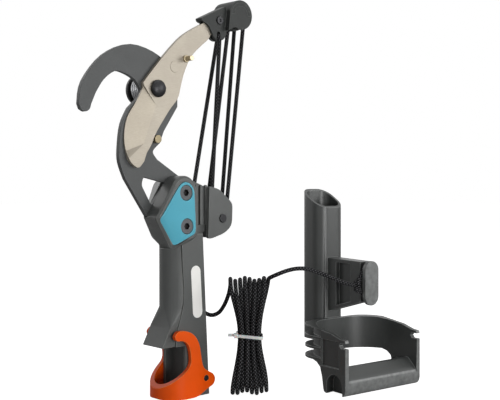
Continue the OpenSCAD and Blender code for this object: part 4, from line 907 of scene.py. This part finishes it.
# %% Rim of the handle
BRIDGE_AT, BRIDGE_SIZE = (51.82, -55.7, 62.41), (3.24, 3.6, 1.2)
RIM_RISE, RIM_RUN = 4, 32
rim_slope = Quaternion((1, 0, 0), math.atan(RIM_RISE / RIM_RUN))
rim_axes = []
for step in ((1, 0, 0), (0, 1, 0), (0, 0, 1)):
    rim_axes.append(of_handle(*(rim_slope @ Vector(step))) - HANDLE)
bridges = [block_mesh("bridge", of_handle(side * BRIDGE_AT[0], *BRIDGE_AT[1:]), BRIDGE_SIZE, rim_axes)
           for side in (-1, 1)]
rim_bridges = place("handle_rim_bridges", joined("handle_rim_bridges", bridges), handle_pp,
                    (), "head")
print("rim bridges:", len(rim_bridges.data.polygons), "faces")

print(f"cord: {length_of(cord_line):.0f} mm from the grip to the knot")

# %% [markdown]
# ## Small pieces made by rules
# Three small pieces are left that the solid model doesn't have. Each follows a rule with a few
# sizes, so each is a Geometry Nodes tree whose inputs are those sizes. The tree is grown once, its
# mesh is kept and the modifier goes.

# %% Geometry Nodes helpers
def geometry_tree(name, **sockets):
    """A Geometry Nodes tree with named inputs, the last one its finish, and its two end nodes."""
    tree = bpy.data.node_groups.new(name, "GeometryNodeTree")
    tree.interface.new_socket("Geometry", in_out="OUTPUT", socket_type="NodeSocketGeometry")
    names = {}
    for label, kind in {**sockets, "Finish": "Material"}.items():
        socket = tree.interface.new_socket(label, in_out="INPUT", socket_type="NodeSocket" + kind)
        names[label] = socket.identifier
    return tree, put(tree, "NodeGroupInput"), put(tree, "NodeGroupOutput"), names


def end_tree(tree, last, given, out):
    """Ends a tree: its instances are made real and its finish is set."""
    plain = put(tree, "GeometryNodeRealizeInstances", {0: last})
    clad = put(tree, "GeometryNodeSetMaterial", {0: plain, "Material": given.outputs["Finish"]})
    tree.links.new(clad.outputs[0], out.inputs[0])


def grown(name, tree, names, turn, at, **values):
    """The mesh that a tree makes with these values, turned and moved to a place in millimetres."""
    work = bpy.data.objects.new(name, bpy.data.meshes.new(name))
    bpy.context.collection.objects.link(work)
    rule = work.modifiers.new("rule", "NODES")
    rule.node_group = tree
    for label, value in values.items():
        rule[names[label]] = value
    work.update_tag()
    mesh = baked(work)
    mesh.transform(turn.to_matrix().to_4x4())
    mesh.transform(Matrix.Translation(at * MM))
    return mesh


upright = Quaternion((1, 0, 0), math.radians(90))
print("geometry rules: helpers ready")

# %% [markdown]
# The first is the name plate on the grip's raised panel, turned a few degrees. It is kept bare: a
# thin film with a rolled edge. A rectangle gets round corners, is filled and is pushed up.

# %% Bare name plate
PLATE_AT, PLATE_SIZE, PLATE_RISE = Vector((10.7, -18.1, 104.0)), (12.0, 52.0), 0.45
PLATE_TILT, PLATE_EDGE = -3.5, 0.2
CORNER_SHARE, CORNER_COUNT = 0.499, 14
tree, given, out, names = geometry_tree("pill_plate", Width="Float", Height="Float", Rise="Float")
oblong = put(tree, "GeometryNodeCurvePrimitiveQuadrilateral",
             {0: given.outputs["Width"], 1: given.outputs["Height"]})
corner = put(tree, "ShaderNodeMath", {0: given.outputs["Width"], 1: CORNER_SHARE}, operation="MULTIPLY")
pill = put(tree, "GeometryNodeFilletCurve",
           {"Curve": oblong, "Radius": corner, "Count": CORNER_COUNT}, mode="POLY")
film = put(tree, "GeometryNodeFillCurve", {0: pill}, mode="NGONS")
raised = put(tree, "GeometryNodeExtrudeMesh",
             {"Mesh": film, "Offset Scale": given.outputs["Rise"]}, mode="FACES")
end_tree(tree, raised, given, out)
plate_turn = Quaternion((0, 1, 0), math.radians(PLATE_TILT)) @ upright
plate_mesh = grown("name_plate", tree, names, plate_turn, PLATE_AT, Width=PLATE_SIZE[0] * MM,
                   Height=PLATE_SIZE[1] * MM, Rise=PLATE_RISE * MM, Finish=plate_film)
name_plate = place("bare_name_plate", broken_edges("plate", plate_mesh, PLATE_EDGE), plate_film,
                   (), "head")
print("name plate:", len(name_plate.data.polygons), "faces")

# %% [markdown]
# The second is the row of grip ribs inside the lever's bow. A line of points carries one small block
# each, and the line is upright, as the bow's wall is.

# %% Ribs inside the lever
RIB_COUNT, RIB_STEP, RIB_SIZE, RIB_EDGE = 3, 3.3, (2.4, 7.0, 1.2), 0.25
BOW_MIDDLE, BOW_R, RIB_TURN = Vector((-4.0, 0.0, 7.2)), 18.9, 94.0
tree, given, out, names = geometry_tree("rib_row", Count="Int", Step="Vector", Size="Vector")
row = put(tree, "GeometryNodeMeshLine",
          {"Count": given.outputs["Count"], "Offset": given.outputs["Step"]}, mode="OFFSET")
block = put(tree, "GeometryNodeMeshCube", {"Size": given.outputs["Size"]})
ribs = put(tree, "GeometryNodeInstanceOnPoints", {"Points": row, "Instance": block})
end_tree(tree, ribs, given, out)
bow_turn = Quaternion((0, 0, 1), math.radians(RIB_TURN))
rib_at = BOW_MIDDLE + bow_turn @ Vector((BOW_R, 0, 0))
rib_mesh = grown("lever_ribs", tree, names, bow_turn, rib_at, Count=RIB_COUNT,
                 Step=mm(0, 0, RIB_STEP), Size=mm(*RIB_SIZE), Finish=orange_nylon)
place("lever_ribs", broken_edges("ribs", rib_mesh, RIB_EDGE), orange_nylon, (), "lever")
print("lever ribs:", RIB_COUNT, "of", RIB_SIZE, "mm")

# %% [markdown]
# The third is the flat head on the lower pulleys' pin: a disc that stands on the ear.

# %% Pin head
PIN_R, PIN_RISE, PIN_SIDES, PIN_EDGE, EAR_FRONT = 4.4, 1.6, 40, 0.5, -18.2
tree, given, out, names = geometry_tree("turned_disc", Radius="Float", Rise="Float")
disc = put(tree, "GeometryNodeMeshCylinder", {
    "Vertices": PIN_SIDES, "Radius": given.outputs["Radius"], "Depth": given.outputs["Rise"]})
end_tree(tree, disc, given, out)
pin_at = LOWER + Vector((0, EAR_FRONT - PIN_RISE / 2, 0))
head_mesh = grown("pin_head", tree, names, upright, pin_at, Radius=PIN_R * MM, Rise=PIN_RISE * MM,
                  Finish=blackened)
pin_head = place("pulley_pin_head", broken_edges("head", head_mesh, PIN_EDGE), blackened,
                 (), "head")
print("pin head:", len(pin_head.data.polygons), "faces")

# %% [markdown]
# ## Floor and light
# The set stands on a pale sweep under soft light. Five soft lamps model the form, and the world
# fills the rest. What the camera sees behind the object is white, and the floor keeps the shadow.

# %% Floor
FLOOR, PAPER_GLOW = 6000, 0.93

# white paper: matt, and so bright that only the shadow shows on it
paper, tree, out = blank_finish("white_paper_sweep")
rays = put(tree, "ShaderNodeLightPath")
matt = put(tree, "ShaderNodeBsdfDiffuse", {"Color": srgb("#e6e6e6")})
glow = put(tree, "ShaderNodeEmission", {"Color": (1, 1, 1, 1), "Strength": PAPER_GLOW})
seen = put(tree, "ShaderNodeAddShader", {0: matt, 1: glow})
pick = put(tree, "ShaderNodeMixShader", {0: rays.outputs["Is Camera Ray"], 1: matt, 2: seen})
tree.links.new(pick.outputs[0], out.inputs[0])
corners = ((-FLOOR, -FLOOR), (FLOOR, -FLOOR), (FLOOR, FLOOR), (-FLOOR, FLOOR))
sweep = bpy.data.meshes.new("paper_sweep")
sweep.from_pydata([mm(x, y, 0) for x, y in corners], [], [(0, 1, 2, 3)])
sweep.materials.append(paper)
floor = bpy.data.objects.new("paper_sweep", sweep)
bpy.context.collection.objects.link(floor)
print("floor: ready")

# %% World
FILL_LEVEL = 0.12   # what lights the set; the eye and mirrors see full white

world = bpy.data.worlds.new("studio")
world.use_nodes = True
bpy.context.scene.world = world
tree = world.node_tree
tree.nodes.clear()
rays = put(tree, "ShaderNodeLightPath").outputs
mirror = put(tree, "ShaderNodeMath", {0: rays["Is Camera Ray"], 1: rays["Is Glossy Ray"]},
             operation="MAXIMUM")
clear = put(tree, "ShaderNodeMath", {0: mirror, 1: rays["Is Transmission Ray"]}, operation="MAXIMUM")
level = put(tree, "ShaderNodeMapRange", {"Value": clear, "To Min": FILL_LEVEL, "To Max": 1.0})
sky = put(tree, "ShaderNodeBackground", {"Color": (1, 1, 1, 1), "Strength": level})
put(tree, "ShaderNodeOutputWorld", {0: sky})
print("world:", len(tree.nodes), "nodes")

# %% Lamps
def lamp(name, at, aim, size, watts):
    """A soft square lamp."""
    light = bpy.data.lights.new(name, "AREA")
    light.size, light.energy = size * MM, watts
    thing = bpy.data.objects.new(name, light)
    thing.location = mm(*at)
    thing.rotation_euler = (mm(*aim) - mm(*at)).to_track_quat("-Z", "Y").to_euler()
    bpy.context.collection.objects.link(thing)


MIDDLE = (60, -30, 140)
lamp("key_right", (800, -1000, 420), MIDDLE, 500, 4.0)
lamp("key_front", (-60, -1200, 90), MIDDLE, 500, 9.0)
lamp("fill_left", (-1100, -550, 420), MIDDLE, 900, 1.4)
lamp("top", (60, -250, 1500), MIDDLE, 1000, 3.2)
lamp("back", (-200, 1300, 650), MIDDLE, 900, 4.0)
bpy.context.scene.view_settings.view_transform = "Standard"
print("light: 5 lamps and the world")
